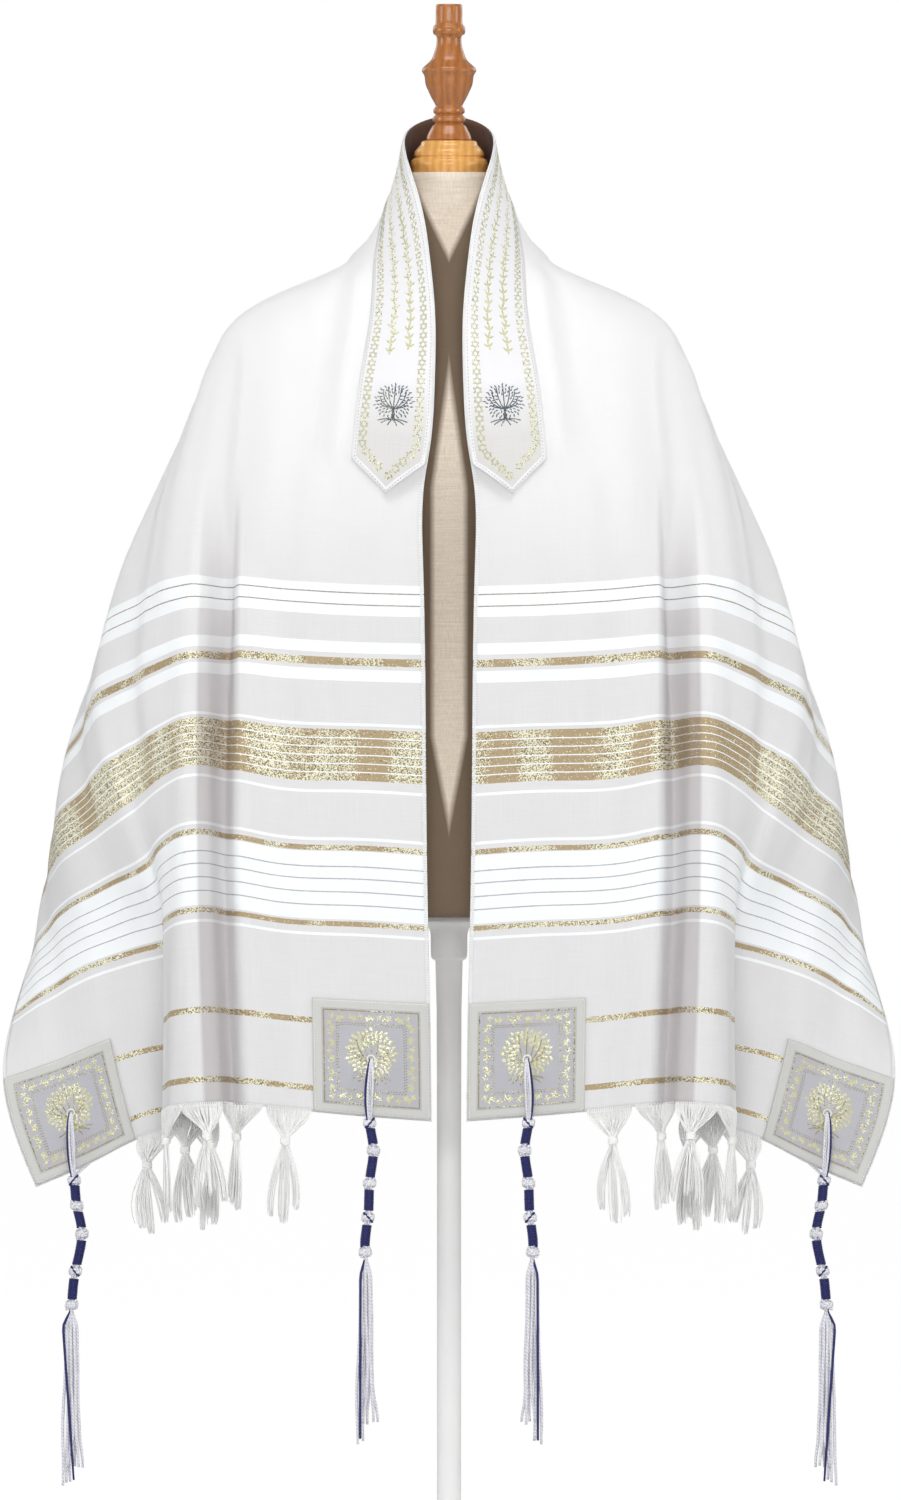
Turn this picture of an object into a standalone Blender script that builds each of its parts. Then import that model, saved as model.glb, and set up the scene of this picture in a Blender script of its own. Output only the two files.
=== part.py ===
"""Tallit prayer shawl, worn round the neck of a limbless dress form on a pole and a round base.

Metres, +Z up, the front of the form towards -Y, its centre line on the Z axis.

The shawl is one long rectangle of cloth. A point of it has two measures: run, the distance from the
middle of the back along the long way (negative on the left of a viewer in front), and across, the
distance from the edge at the neck. Guide lines at a fixed across give the drape, and every piece
that is sewn on the cloth is made from the cloth's own points, moved out.
"""
import math

import bmesh
import bpy
import numpy as np
from mathutils import Vector

# Cloth, as cut
HALF_RUN = 1.065
WIDTH = 0.56
WALL = 0.0012
SEAM_GAP = 0.0003
STRETCH_SPLIT = 0.391
BACK_ROWS = 25
FRONT_ROWS = 22
COLUMNS = (
    0.000, 0.038, 0.076, 0.114, 0.150, 0.182, 0.208, 0.230, 0.252, 0.276,
    0.302, 0.330, 0.358, 0.386, 0.416, 0.448, 0.485, 0.5225, 0.560,
)

# Neckband and corner patches
BAND_WIDTH = 0.0748
BAND_CORNER = 0.443
BAND_TIP = 0.473
BAND_WALL = 0.0010
BAND_END_LIFT = 0.0014
PATCH_SIDE = 0.111
PATCH_WALL = 0.0010
EDGE_MARGIN = 0.0012

# Fringe and corner tassels
FRINGE_ACROSS = (0.135, 0.180, 0.218, 0.255, 0.310, 0.372, 0.430)
FRINGE_DROP = (0.078, 0.070, 0.068, 0.074, 0.070, 0.072, 0.066)
FRINGE_FUNNEL = 0.026
FRINGE_GATHER = 0.030
FRINGE_KNOT = 0.0085
HEM_GAP = 0.0006
EYELET_IN = 0.056
TASSEL_GAP = 0.0006
STRAND = 0.0020

# Stand and form
BASE_RADIUS = 0.185
BASE_HEIGHT = 0.014
POLE_RADIUS = 0.0115
FORM_BOTTOM = 0.810
FORM_TOP = 1.5195
CAP_TOP = 1.5500
FINIAL_TOP = 1.6805

COLOURS = {
    "cloth": ((0.90, 0.90, 0.92, 1.0), 0.55, 0.0),
    "satin": ((0.84, 0.84, 0.88, 1.0), 0.35, 0.0),
    "thread": ((0.93, 0.93, 0.93, 1.0), 0.65, 0.0),
    "jersey": ((0.66, 0.58, 0.50, 1.0), 0.85, 0.0),
    "honey wood": ((0.62, 0.32, 0.12, 1.0), 0.35, 0.0),
    "brown wood": ((0.36, 0.13, 0.05, 1.0), 0.35, 0.0),
    "white steel": ((0.88, 0.88, 0.88, 1.0), 0.40, 0.0),
}

# Guide lines of the right-hand half of the cloth. Columns: run, out from the centre, back, up.
NECK_EDGE = (
    (0.000, 0.000, 0.062, 1.5755),
    (0.041, 0.033, 0.044, 1.5660),
    (0.074, 0.042, 0.015, 1.5530),
    (0.108, 0.041, -0.015, 1.5375),
    (0.143, 0.036, -0.045, 1.5195),
    (0.177, 0.0275, -0.062, 1.4910),
    (0.240, 0.018, -0.088, 1.4340),
    (0.290, 0.0135, -0.105, 1.3865),
    (0.360, 0.0135, -0.128, 1.3200),
    (0.425, 0.018, -0.139, 1.2560),
    (0.460, 0.0235, -0.142, 1.2210),
    (0.530, 0.0247, -0.142, 1.1490),
    (0.620, 0.0228, -0.140, 1.0635),
    (0.870, 0.020, -0.136, 0.8100),
    (0.950, 0.018, -0.134, 0.7310),
    (1.065, 0.0165, -0.132, 0.6160),
)
BAND_LINE = (
    (0.000, 0.000, 0.080, 1.5024),
    (0.041, 0.039, 0.071, 1.5005),
    (0.074, 0.054, 0.048, 1.4948),
    (0.108, 0.0605, 0.020, 1.4863),
    (0.143, 0.0655, -0.012, 1.4644),
    (0.177, 0.0694, -0.036, 1.4435),
    (0.240, 0.0722, -0.062, 1.4160),
    (0.290, 0.0751, -0.085, 1.3790),
    (0.360, 0.0846, -0.110, 1.3219),
    (0.460, 0.0940, -0.136, 1.2269),
    (0.530, 0.0979, -0.143, 1.1519),
    (0.620, 0.0979, -0.144, 1.0654),
    (0.870, 0.0940, -0.142, 0.8147),
    (1.065, 0.0912, -0.140, 0.6218),
)
CHEST_LINE = (
    (0.000, 0.000, 0.108, 1.4321),
    (0.074, 0.0694, 0.085, 1.4388),
    (0.143, 0.0988, 0.033, 1.4321),
    (0.240, 0.1416, -0.022, 1.4055),
    (0.360, 0.1558, -0.078, 1.3314),
    (0.460, 0.1682, -0.122, 1.2269),
    (0.530, 0.1720, -0.134, 1.1557),
    (0.620, 0.1720, -0.140, 1.0702),
    (0.870, 0.1700, -0.146, 0.8194),
    (1.065, 0.1663, -0.147, 0.6294),
)
RIDGE_LINE = (
    (0.000, 0.000, 0.134, 1.3723),
    (0.074, 0.0789, 0.113, 1.3789),
    (0.143, 0.1207, 0.080, 1.3979),
    (0.240, 0.1957, 0.020, 1.3846),
    (0.360, 0.2166, -0.045, 1.3276),
    (0.460, 0.2290, -0.090, 1.2317),
    (0.530, 0.2347, -0.117, 1.1604),
    (0.620, 0.2375, -0.136, 1.0721),
    (0.740, 0.2385, -0.150, 0.9619),
    (0.870, 0.2375, -0.156, 0.8289),
    (1.065, 0.2309, -0.157, 0.6332),
)
LIP_LINE = (
    (0.000, 0.000, 0.150, 1.3153),
    (0.074, 0.0836, 0.135, 1.3238),
    (0.143, 0.1358, 0.112, 1.3533),
    (0.240, 0.2024, 0.065, 1.3390),
    (0.360, 0.2404, 0.006, 1.3058),
    (0.460, 0.2717, -0.050, 1.2155),
    (0.530, 0.2822, -0.085, 1.1490),
    (0.620, 0.2879, -0.112, 1.0559),
    (0.740, 0.2800, -0.128, 0.9448),
    (0.870, 0.2717, -0.124, 0.8146),
    (1.065, 0.2727, -0.118, 0.6246),
)
HEART_LINE = (
    (0.000, 0.000, 0.162, 1.2478),
    (0.074, 0.0865, 0.150, 1.2554),
    (0.143, 0.1454, 0.138, 1.2896),
    (0.240, 0.2024, 0.108, 1.2773),
    (0.360, 0.2489, 0.058, 1.2583),
    (0.460, 0.2917, 0.005, 1.1842),
    (0.530, 0.3145, -0.030, 1.1224),
    (0.620, 0.3316, -0.068, 1.0303),
    (0.740, 0.3080, -0.106, 0.9230),
    (0.870, 0.2640, -0.092, 0.8010),
    (0.950, 0.2318, -0.085, 0.7196),
    (1.065, 0.2214, -0.088, 0.6151),
)
WING_LINE = (
    (0.000, 0.000, 0.169, 1.1747),
    (0.074, 0.0874, 0.160, 1.1823),
    (0.143, 0.1501, 0.155, 1.2174),
    (0.240, 0.2014, 0.138, 1.2098),
    (0.360, 0.2480, 0.105, 1.2013),
    (0.460, 0.2955, 0.060, 1.1348),
    (0.530, 0.3259, 0.030, 1.0730),
    (0.620, 0.3582, -0.015, 0.9828),
    (0.740, 0.3545, -0.070, 0.8880),
    (0.870, 0.3116, -0.068, 0.7842),
    (0.950, 0.2936, -0.068, 0.7054),
    (1.065, 0.2717, -0.066, 0.6066),
)
WING_OUTER_LINE = (
    (0.000, 0.000, 0.171, 1.1063),
    (0.074, 0.0884, 0.166, 1.1129),
    (0.143, 0.1520, 0.166, 1.1490),
    (0.240, 0.2005, 0.152, 1.1433),
    (0.360, 0.2442, 0.140, 1.1395),
    (0.460, 0.2850, 0.112, 1.0887),
    (0.530, 0.3202, 0.086, 1.0236),
    (0.620, 0.3582, 0.045, 0.9305),
    (0.740, 0.3867, 0.002, 0.8450),
    (0.870, 0.3715, -0.042, 0.7576),
    (0.950, 0.3601, -0.052, 0.6816),
    (1.065, 0.3335, -0.064, 0.5790),
)
OUTER_EDGE = (
    (0.000, 0.000, 0.172, 1.0369),
    (0.074, 0.0884, 0.169, 1.0436),
    (0.143, 0.1520, 0.170, 1.0797),
    (0.240, 0.1986, 0.160, 1.0740),
    (0.360, 0.2394, 0.160, 1.0759),
    (0.460, 0.2765, 0.143, 1.0303),
    (0.530, 0.3088, 0.125, 0.9704),
    (0.620, 0.3468, 0.100, 0.8783),
    (0.740, 0.3860, 0.050, 0.7975),
    (0.870, 0.4142, -0.006, 0.7215),
    (0.950, 0.4251, -0.036, 0.6569),
    (1.065, 0.3933, -0.064, 0.5524),
)
# Columns: across, guide line.
GUIDES = (
    (0.000, NECK_EDGE),
    (0.075, BAND_LINE),
    (0.150, CHEST_LINE),
    (0.215, RIDGE_LINE),
    (0.275, LIP_LINE),
    (0.345, HEART_LINE),
    (0.420, WING_LINE),
    (0.490, WING_OUTER_LINE),
    (0.560, OUTER_EDGE),
)

# Soft folds that fall behind each shoulder. Columns: run at the middle, half length of cloth in it,
# across where it starts, depth at the outer edge (out of the back, or into it where negative).
BACK_FOLDS = (
    (0.130, 0.040, 0.16, 0.014),
    (0.190, 0.034, 0.20, -0.020),
    (0.248, 0.034, 0.22, 0.024),
    (0.306, 0.034, 0.26, -0.022),
    (0.362, 0.034, 0.28, 0.024),
    (0.420, 0.036, 0.30, -0.018),
)

# Sections of the form's torso. Columns: up, half width, front, back.
TORSO_SECTIONS = (
    (0.810, 0.166, 0.104, 0.112),
    (0.870, 0.172, 0.108, 0.122),
    (0.940, 0.164, 0.104, 0.116),
    (1.010, 0.141, 0.094, 0.098),
    (1.070, 0.126, 0.088, 0.086),
    (1.130, 0.133, 0.095, 0.088),
    (1.200, 0.152, 0.112, 0.098),
    (1.255, 0.165, 0.119, 0.108),
    (1.310, 0.177, 0.106, 0.114),
    (1.350, 0.184, 0.088, 0.108),
    (1.372, 0.182, 0.076, 0.099),
    (1.390, 0.167, 0.067, 0.089),
    (1.404, 0.141, 0.060, 0.080),
    (1.418, 0.109, 0.054, 0.070),
    (1.434, 0.080, 0.050, 0.060),
    (1.456, 0.058, 0.046, 0.051),
    (1.488, 0.045, 0.041, 0.043),
    (1.5195, 0.0385, 0.0385, 0.0385),
)
SECTION_POWER = 2.3
TORSO_SIDES = 28

# Turned profiles, top to bottom. Columns: radius, height below the top of the piece.
FINIAL_PROFILE = (
    (0.0117, 0.0000),
    (0.0127, 0.0015),
    (0.0127, 0.0190),
    (0.0150, 0.0215),
    (0.0157, 0.0250),
    (0.0150, 0.0285),
    (0.0116, 0.0305),
    (0.0122, 0.0400),
    (0.0165, 0.0530),
    (0.0255, 0.0610),
    (0.0262, 0.0640),
    (0.0235, 0.0680),
    (0.0225, 0.0770),
    (0.0170, 0.0890),
    (0.0122, 0.0975),
    (0.0150, 0.1000),
    (0.0150, 0.1035),
    (0.0125, 0.1055),
    (0.0157, 0.1080),
    (0.0157, 0.1120),
    (0.0130, 0.1140),
    (0.0160, 0.1160),
    (0.0205, 0.1245),
    (0.0219, 0.1300),
)
CAP_PROFILE = (
    (0.0250, 0.0000),
    (0.0266, 0.0010),
    (0.0275, 0.0040),
    (0.0325, 0.0095),
    (0.0337, 0.0140),
    (0.0325, 0.0160),
    (0.0362, 0.0185),
    (0.0371, 0.0225),
    (0.0365, 0.0265),
    (0.0352, 0.0302),
)


def clear_scene():
    for thing in list(bpy.data.objects):
        bpy.data.objects.remove(thing, do_unlink=True)


def make_material(name):
    colour, roughness, metallic = COLOURS[name]
    material = bpy.data.materials.new(name)
    material.use_nodes = True
    shader = material.node_tree.nodes["Principled BSDF"]
    shader.inputs["Base Color"].default_value = colour
    shader.inputs["Roughness"].default_value = roughness
    shader.inputs["Metallic"].default_value = metallic
    return material


def add_object(name, mesh, collection, material):
    mesh.materials.append(material)
    made = bpy.data.objects.new(name, mesh)
    collection.objects.link(made)
    return made


def natural_spline(knots, values, where):
    """Natural cubic spline: values holds a row for each knot, and the result a row for each place."""
    knots = np.asarray(knots, float)
    values = np.asarray(values, float)
    where = np.asarray(where, float)
    count = len(knots)
    step = np.diff(knots)
    slope = np.diff(values, axis=0) / step[:, None]
    system = np.eye(count)
    right = np.zeros_like(values)
    inner = np.arange(1, count - 1)
    system[inner, inner] = 2.0 * (step[:-1] + step[1:])
    system[inner, inner - 1] = step[:-1]
    system[inner, inner + 1] = step[1:]
    right[1:-1] = 6.0 * (slope[1:] - slope[:-1])
    bend = np.linalg.solve(system, right)
    span = np.clip(np.searchsorted(knots, where) - 1, 0, count - 2)
    width = step[span][:, None]
    low = (knots[span + 1] - where)[:, None]
    high = (where - knots[span])[:, None]
    curve = (bend[span] * low ** 3 + bend[span + 1] * high ** 3) / (6.0 * width)
    line = (values[span] / width - bend[span] * width / 6.0) * low
    return curve + line + (values[span + 1] / width - bend[span + 1] * width / 6.0) * high


def both_halves(table):
    """A guide line's rows with their mirror image: run and out change sign."""
    right = np.array(table)
    left = right[:0:-1] * np.array([-1.0, -1.0, 1.0, 1.0])
    return np.vstack([left, right])


def plain_cloth(run, across):
    """Places on the cloth before its small folds, for arrays run and across of one length."""
    lines = []
    for _, table in GUIDES:
        rows = both_halves(table)
        lines.append(natural_spline(rows[:, 0], rows[:, 1:], run))
    lines = np.stack(lines)
    levels = [level for level, _ in GUIDES]
    found = np.empty((len(run), 3))
    for place in range(len(run)):
        found[place] = natural_spline(levels, lines[:, place], across[place:place + 1])[0]
    return found


def normals_of(surface, run, across):
    """Unit normals on the outer side of a surface given as a function of run and across."""
    small = 0.001
    along = surface(run + small, across) - surface(run - small, across)
    over = surface(run, across + small) - surface(run, across - small)
    normal = np.cross(along, over)
    return normal / np.linalg.norm(normal, axis=1)[:, None]


def smooth_rise(value):
    held = np.clip(value, 0.0, 1.0)
    return held * held * (3.0 - 2.0 * held)


def fold_height(run, across):
    """Height of the soft folds behind the shoulders, the same on both halves."""
    height = np.zeros(len(run))
    for middle, half, start, depth in BACK_FOLDS:
        bump = np.cos(np.clip((np.abs(run) - middle) / half, -1.0, 1.0) * math.pi / 2.0) ** 2
        height += depth * bump * smooth_rise((across - start) / (WIDTH - start))
    return height


def cloth(run, across):
    """Places on the cloth's middle surface."""
    outward = normals_of(plain_cloth, run, across)
    return plain_cloth(run, across) + outward * fold_height(run, across)[:, None]


def lifted(run, across, height):
    """Places at a height above the cloth's middle surface, on the side that shows."""
    return cloth(run, across) + normals_of(cloth, run, across) * height


def grid_mesh(name, runs, acrosses, height):
    """An open surface over a grid of the cloth; runs may differ from column to column."""
    rows, columns = runs.shape
    points = lifted(runs.ravel(), acrosses.ravel(), height)
    index = np.arange(rows * columns).reshape(rows, columns)
    near = np.stack([index[:-1, :-1], index[1:, :-1], index[1:, 1:]], axis=-1)
    far = np.stack([index[:-1, :-1], index[1:, 1:], index[:-1, 1:]], axis=-1)
    faces = np.concatenate([near.reshape(-1, 3), far.reshape(-1, 3)])
    mesh = bpy.data.meshes.new(name)
    mesh.from_pydata(points.tolist(), [], faces.tolist())
    mesh.shade_smooth()
    return mesh


def add_wall(made, thickness, offset):
    """Solidify; offset 1 grows the wall outwards, 0 to both sides."""
    wall = made.modifiers.new("wall", "SOLIDIFY")
    wall.thickness = thickness
    wall.offset = offset
    return made


def cloth_rows():
    """The cloth's own rows from the middle of the back to one hem, with those that sewn pieces need."""
    even = np.concatenate([
        np.linspace(0.0, STRETCH_SPLIT, BACK_ROWS),
        np.linspace(STRETCH_SPLIT, HALF_RUN, FRONT_ROWS)[1:],
    ])
    needed = np.array([BAND_CORNER, BAND_TIP, HALF_RUN - PATCH_SIDE - EDGE_MARGIN])
    apart = np.abs(even[:, None] - needed[None, :]).min(axis=1) > 0.012
    return np.sort(np.concatenate([even[apart], needed]))


def between(places, low, high):
    """The low end, the given places well inside, and the high end."""
    margin = 0.004
    inner = places[(places > low + margin) & (places < high - margin)]
    return np.concatenate([[low], inner, [high]])


def stretch(name, start, end, collection, material):
    """One stretch of the shawl between two runs."""
    rows = cloth_rows()
    all_rows = np.concatenate([-rows[:0:-1], rows])
    runs, over = np.meshgrid(between(all_rows, start, end), COLUMNS, indexing="ij")
    made = add_object(name, grid_mesh(name, runs, over, 0.0), collection, material)
    return add_wall(made, WALL, 0.0)


def make_shawl(collection, material):
    half_gap = SEAM_GAP / 2.0
    split = STRETCH_SPLIT
    stretch("shawl_back", half_gap - split, split - half_gap, collection, material)
    stretch("shawl_front_left", -HALF_RUN, -split - half_gap, collection, material)
    stretch("shawl_front_right", split + half_gap, HALF_RUN, collection, material)


def make_neckband(collection, material):
    """The band lies on the cloth from one point to the other; its ends reach a tip at mid width."""
    middle = (EDGE_MARGIN + BAND_WIDTH) / 2.0
    over = np.array([EDGE_MARGIN, middle, BAND_WIDTH])
    tip = 1.0 - np.abs(over - middle) / (middle - EDGE_MARGIN)
    ends = BAND_CORNER + (BAND_TIP - BAND_CORNER) * tip
    rows = between(cloth_rows(), 0.0, BAND_CORNER)[:-1]
    rows = np.append(rows, BAND_CORNER - SEAM_GAP)
    runs = np.broadcast_to(rows[:, None], (len(rows), len(over)))
    runs = np.vstack([-ends, -runs[:0:-1], runs, ends])
    acrosses = np.broadcast_to(over, runs.shape)
    height = np.full(runs.shape, WALL / 2.0 + SEAM_GAP)
    height[[0, -1]] += BAND_END_LIFT
    mesh = grid_mesh("neckband", runs, acrosses, height.ravel()[:, None])
    add_wall(add_object("neckband", mesh, collection, material), BAND_WALL, 1.0)


def make_patches(collection, material):
    rows = between(cloth_rows(), HALF_RUN - PATCH_SIDE - EDGE_MARGIN, HALF_RUN - EDGE_MARGIN)
    for side, side_name in ((-1.0, "left"), (1.0, "right")):
        for first, place_name in ((EDGE_MARGIN, "inner"), (WIDTH - PATCH_SIDE - EDGE_MARGIN, "outer")):
            over = between(np.array(COLUMNS), first, first + PATCH_SIDE)
            runs, acrosses = np.meshgrid(np.sort(side * rows), over, indexing="ij")
            name = "patch_" + place_name + "_" + side_name
            mesh = grid_mesh(name, runs, acrosses, WALL / 2.0 + SEAM_GAP)
            add_wall(add_object(name, mesh, collection, material), PATCH_WALL, 1.0)


def lattice_loop(wide, deep):
    """Index pairs round the edge of a lattice of wide by deep cells, and all its cells."""
    loop = [(i, 0) for i in range(wide)]
    loop += [(wide, j) for j in range(deep)]
    loop += [(i, deep) for i in range(wide, 0, -1)]
    loop += [(0, j) for j in range(deep, 0, -1)]
    cells = [(i, j) for i in range(wide) for j in range(deep)]
    return loop, cells


def bundle_mesh(name, rings, wide, deep, strands, splay, strand_taper):
    """A gathered bundle with loose ends.

    Each ring, top to bottom, is (its middle line as a function of a place from -1 to 1, its half depth
    vector). A ring is a lattice of wide by deep cells pressed to an ellipse. Below the last ring each
    cell goes on as one strand: strands gives (shift of the whole bunch, share of the full splay) for
    each step down.
    """
    loop, cells = lattice_loop(wide, deep)
    shape = bmesh.new()
    levels = []
    for middle_line, front in rings:
        level = {}
        for i in range(wide + 1):
            for j in range(deep + 1):
                s = 2.0 * i / wide - 1.0
                t = 2.0 * j / deep - 1.0
                x = s * math.sqrt(1.0 - 0.45 * t * t)
                y = t * math.sqrt(1.0 - 0.45 * s * s)
                level[i, j] = Vector(middle_line(x)) + y * Vector(front)
        levels.append(level)
    made = []
    for number, level in enumerate(levels):
        whole = number in (0, len(levels) - 1)
        used = level if whole else loop
        made.append({key: shape.verts.new(level[key]) for key in used})
    for upper, lower in zip(made, made[1:]):
        for here, there in zip(loop, loop[1:] + loop[:1]):
            shape.faces.new((upper[here], upper[there], lower[there], lower[here]))
    for i, j in cells:
        top = made[0]
        shape.faces.new((top[i, j], top[i, j + 1], top[i + 1, j + 1], top[i + 1, j]))
    ends = []
    last = made[-1]
    for i, j in cells:
        face = shape.faces.new((last[i, j], last[i + 1, j], last[i + 1, j + 1], last[i, j + 1]))
        ends.append((i, j, face))
    for i, j, face in ends:
        bmesh.ops.inset_individual(shape, faces=[face], thickness=STRAND * 0.16)
        grow_strand(shape, face, strands, splay(i, j), strand_taper)
    bmesh.ops.recalc_face_normals(shape, faces=shape.faces)
    mesh = bpy.data.meshes.new(name)
    shape.to_mesh(mesh)
    shape.free()
    return mesh


def grow_strand(shape, face, steps, splay, taper):
    """Carry one face on as a strand through the steps, each a shift and a share of the splay."""
    centre = face.calc_center_median()
    start = [(corner.co - centre) * taper for corner in face.verts]
    for shift, share in steps:
        grown = bmesh.ops.extrude_discrete_faces(shape, faces=[face])["faces"][0]
        middle = centre + Vector(shift) + Vector(splay) * share
        for corner, offset in zip(grown.verts, start):
            corner.co = middle + offset
        face = grown


def straight_line(centre, side):
    """A ring's middle line that runs straight to both sides of its centre."""
    return lambda place: centre + side * place


def hem_line(run, across, half_width, below):
    """A ring's middle line that follows the hem from column to column, a little below it."""
    columns = np.array(COLUMNS)
    hem = cloth(np.full(len(columns), run), columns) - np.array((0.0, 0.0, below))
    return lambda place: np.array([np.interp(across + half_width * place, columns, axis) for axis in hem.T])


def hem_frame(run, across):
    """A place on the hem with its direction along the hem and the cloth's outward normal."""
    place = hem_line(run, across, 0.004, 0.0)
    along = place(1.0) - place(-1.0)
    along[2] = 0.0
    along /= np.linalg.norm(along)
    return place(0.0), along, np.cross(along, (0.0, 0.0, 1.0))


def make_fringe(collection, material):
    """Gathered and knotted fringe along both short ends, one node for each knot."""
    for side, side_name in ((-1.0, "left"), (1.0, "right")):
        for number, (across, drop) in enumerate(zip(FRINGE_ACROSS, FRINGE_DROP)):
            place, along, normal = hem_frame(side * HALF_RUN, across)
            down = np.array((0.0, 0.0, -1.0))
            sway = along * 0.006 * math.sin(2.3 * number + 0.7)
            top = hem_line(side * HALF_RUN, across, FRINGE_GATHER / 2.0, HEM_GAP)
            rings = [(top, normal * 0.0011)]
            # Columns: distance below the hem, half width, half depth, share of the sway.
            table = (
                (FRINGE_FUNNEL * 0.85, 0.0030, 0.0024, 0.9),
                (FRINGE_FUNNEL + 0.002, FRINGE_KNOT / 2.0, 0.0040, 1.0),
                (FRINGE_FUNNEL + 0.007, FRINGE_KNOT / 2.0, 0.0040, 1.0),
                (FRINGE_FUNNEL + 0.010, 0.0036, 0.0026, 1.0),
            )
            for below, half_width, half_depth, share in table:
                centre = place + down * below + sway * share
                rings.append((straight_line(centre, along * half_width), normal * half_depth))
            steps = []
            for share in (0.40, 1.0):
                steps.append((down * drop * share, share ** 1.3))

            def splay(i, j):
                spread = (i - 0.5) * 0.0100 + (j - 0.5) * 0.0050 + 0.0015 * math.sin(i * 3.1 + number)
                return along * spread + normal * (j - 0.5) * 0.0060

            name = "fringe_" + side_name + "_" + str(number + 1)
            mesh = bundle_mesh(name, rings, 2, 2, steps, splay, 0.85)
            add_object(name, mesh, collection, material)


# Corner tassels. Columns: distance below the eyelet, sway towards the outer edge, half width.
INNER_CORD = (
    (0.000, 0.0000, 0.0040),
    (0.030, -0.0005, 0.0046),
    (0.056, 0.0020, 0.0036),
    (0.060, 0.0030, 0.0056),
    (0.065, 0.0010, 0.0042),
    (0.080, 0.0000, 0.0046),
    (0.084, -0.0020, 0.0060),
    (0.092, 0.0010, 0.0042),
    (0.111, 0.0010, 0.0046),
    (0.116, 0.0000, 0.0060),
    (0.124, 0.0020, 0.0042),
    (0.143, 0.0030, 0.0046),
    (0.149, 0.0030, 0.0060),
    (0.158, 0.0050, 0.0042),
    (0.177, 0.0060, 0.0046),
    (0.182, 0.0060, 0.0060),
    (0.189, 0.0050, 0.0044),
)
INNER_TAIL = 0.180
OUTER_CORD = (
    (0.000, 0.0000, 0.0040),
    (0.030, -0.0010, 0.0046),
    (0.058, -0.0030, 0.0036),
    (0.064, -0.0035, 0.0056),
    (0.069, -0.0045, 0.0042),
    (0.083, -0.0060, 0.0046),
    (0.088, -0.0065, 0.0060),
    (0.094, -0.0080, 0.0042),
    (0.109, -0.0110, 0.0046),
    (0.115, -0.0125, 0.0060),
    (0.122, -0.0110, 0.0042),
    (0.144, -0.0055, 0.0046),
    (0.151, -0.0050, 0.0060),
    (0.159, -0.0045, 0.0042),
    (0.177, -0.0020, 0.0046),
    (0.182, -0.0010, 0.0060),
    (0.189, -0.0010, 0.0044),
)
OUTER_TAIL = 0.170


def make_corner_tassel(name, side, across, table, tail, collection, material):
    """A corner tassel: its loop lies on the patch, and below the hem it hangs straight down."""
    eyelet = (np.array([side * (HALF_RUN - EYELET_IN)]), np.array([across]))
    hem_place, _, _ = hem_frame(side * HALF_RUN, across)
    front = normals_of(cloth, *eyelet)[0] * np.array((1.0, 1.0, 0.0))
    front /= np.linalg.norm(front)
    sideways = side * np.cross(front, (0.0, 0.0, 1.0)) * -1.0
    clear = WALL / 2.0 + SEAM_GAP + PATCH_WALL + TASSEL_GAP
    half_depth = 0.0030
    start = lifted(*eyelet, clear + half_depth)[0]
    hem_front = hem_place[1] - clear - half_depth - 0.0015
    rings = []
    for below, sway, half_width in table:
        place = start + sideways * sway
        place[2] = start[2] - below
        laid = min(1.0, below / EYELET_IN)
        place[1] = start[1] + (hem_front - start[1]) * laid - 0.003 * math.sin(math.pi * laid)
        depth = half_depth if below < EYELET_IN * 0.9 else half_width * 0.8
        rings.append((straight_line(place, sideways * half_width), front * depth))
    down = np.array((0.0, 0.0, -1.0))
    steps = []
    for share in (0.10, 0.55, 1.0):
        steps.append((down * tail * share, share ** 0.8))

    def splay(i, j):
        spread = (i - 1.5) * 0.0044 + (j - 0.5) * 0.0018
        return sideways * spread + front * (j - 0.5) * 0.0060 + down * 0.012 * math.sin(i * 2.1 + j)

    mesh = bundle_mesh(name, rings, 4, 2, steps, splay, 0.85)
    add_object(name, mesh, collection, material)


def make_corner_tassels(collection, material):
    for side, side_name in ((-1.0, "left"), (1.0, "right")):
        inner_across = EDGE_MARGIN + EYELET_IN
        outer_across = WIDTH - PATCH_SIDE / 2.0 - EDGE_MARGIN
        make_corner_tassel(
            "tassel_inner_" + side_name, side, inner_across, INNER_CORD, INNER_TAIL, collection, material)
        make_corner_tassel(
            "tassel_outer_" + side_name, side, outer_across, OUTER_CORD, OUTER_TAIL, collection, material)


def make_torso(collection, material):
    """The torso is a loft through flattened rings; its neck ends in a round flat top."""
    table = np.array(TORSO_SECTIONS)
    levels = np.concatenate([np.linspace(FORM_BOTTOM, 1.34, 8), np.linspace(1.34, FORM_TOP, 11)[1:]])
    sections = natural_spline(table[:, 0], table[:, 1:], levels)
    shape = bmesh.new()
    rings = []
    for level, (half_width, front, back) in zip(levels, sections):
        ring = []
        roundness = min(1.0, max(0.0, (level - 1.43) / 0.07))
        power = SECTION_POWER + (2.0 - SECTION_POWER) * roundness
        for number in range(TORSO_SIDES):
            angle = 2.0 * math.pi * number / TORSO_SIDES
            over = math.cos(angle)
            away = math.sin(angle)
            depth = back if away > 0.0 else front
            x = math.copysign(abs(over) ** (2.0 / power), over) * half_width
            y = math.copysign(abs(away) ** (2.0 / power), away) * depth
            ring.append(shape.verts.new((x, y, level)))
        rings.append(ring)
    for lower, upper in zip(rings, rings[1:]):
        for here in range(TORSO_SIDES):
            there = (here + 1) % TORSO_SIDES
            shape.faces.new((lower[here], lower[there], upper[there], upper[here]))
    shape.faces.new(rings[-1])
    shape.faces.new(rings[0][::-1])
    mesh = bpy.data.meshes.new("form_torso")
    shape.to_mesh(mesh)
    shape.free()
    mesh.shade_smooth()
    add_object("form_torso", mesh, collection, material)


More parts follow.
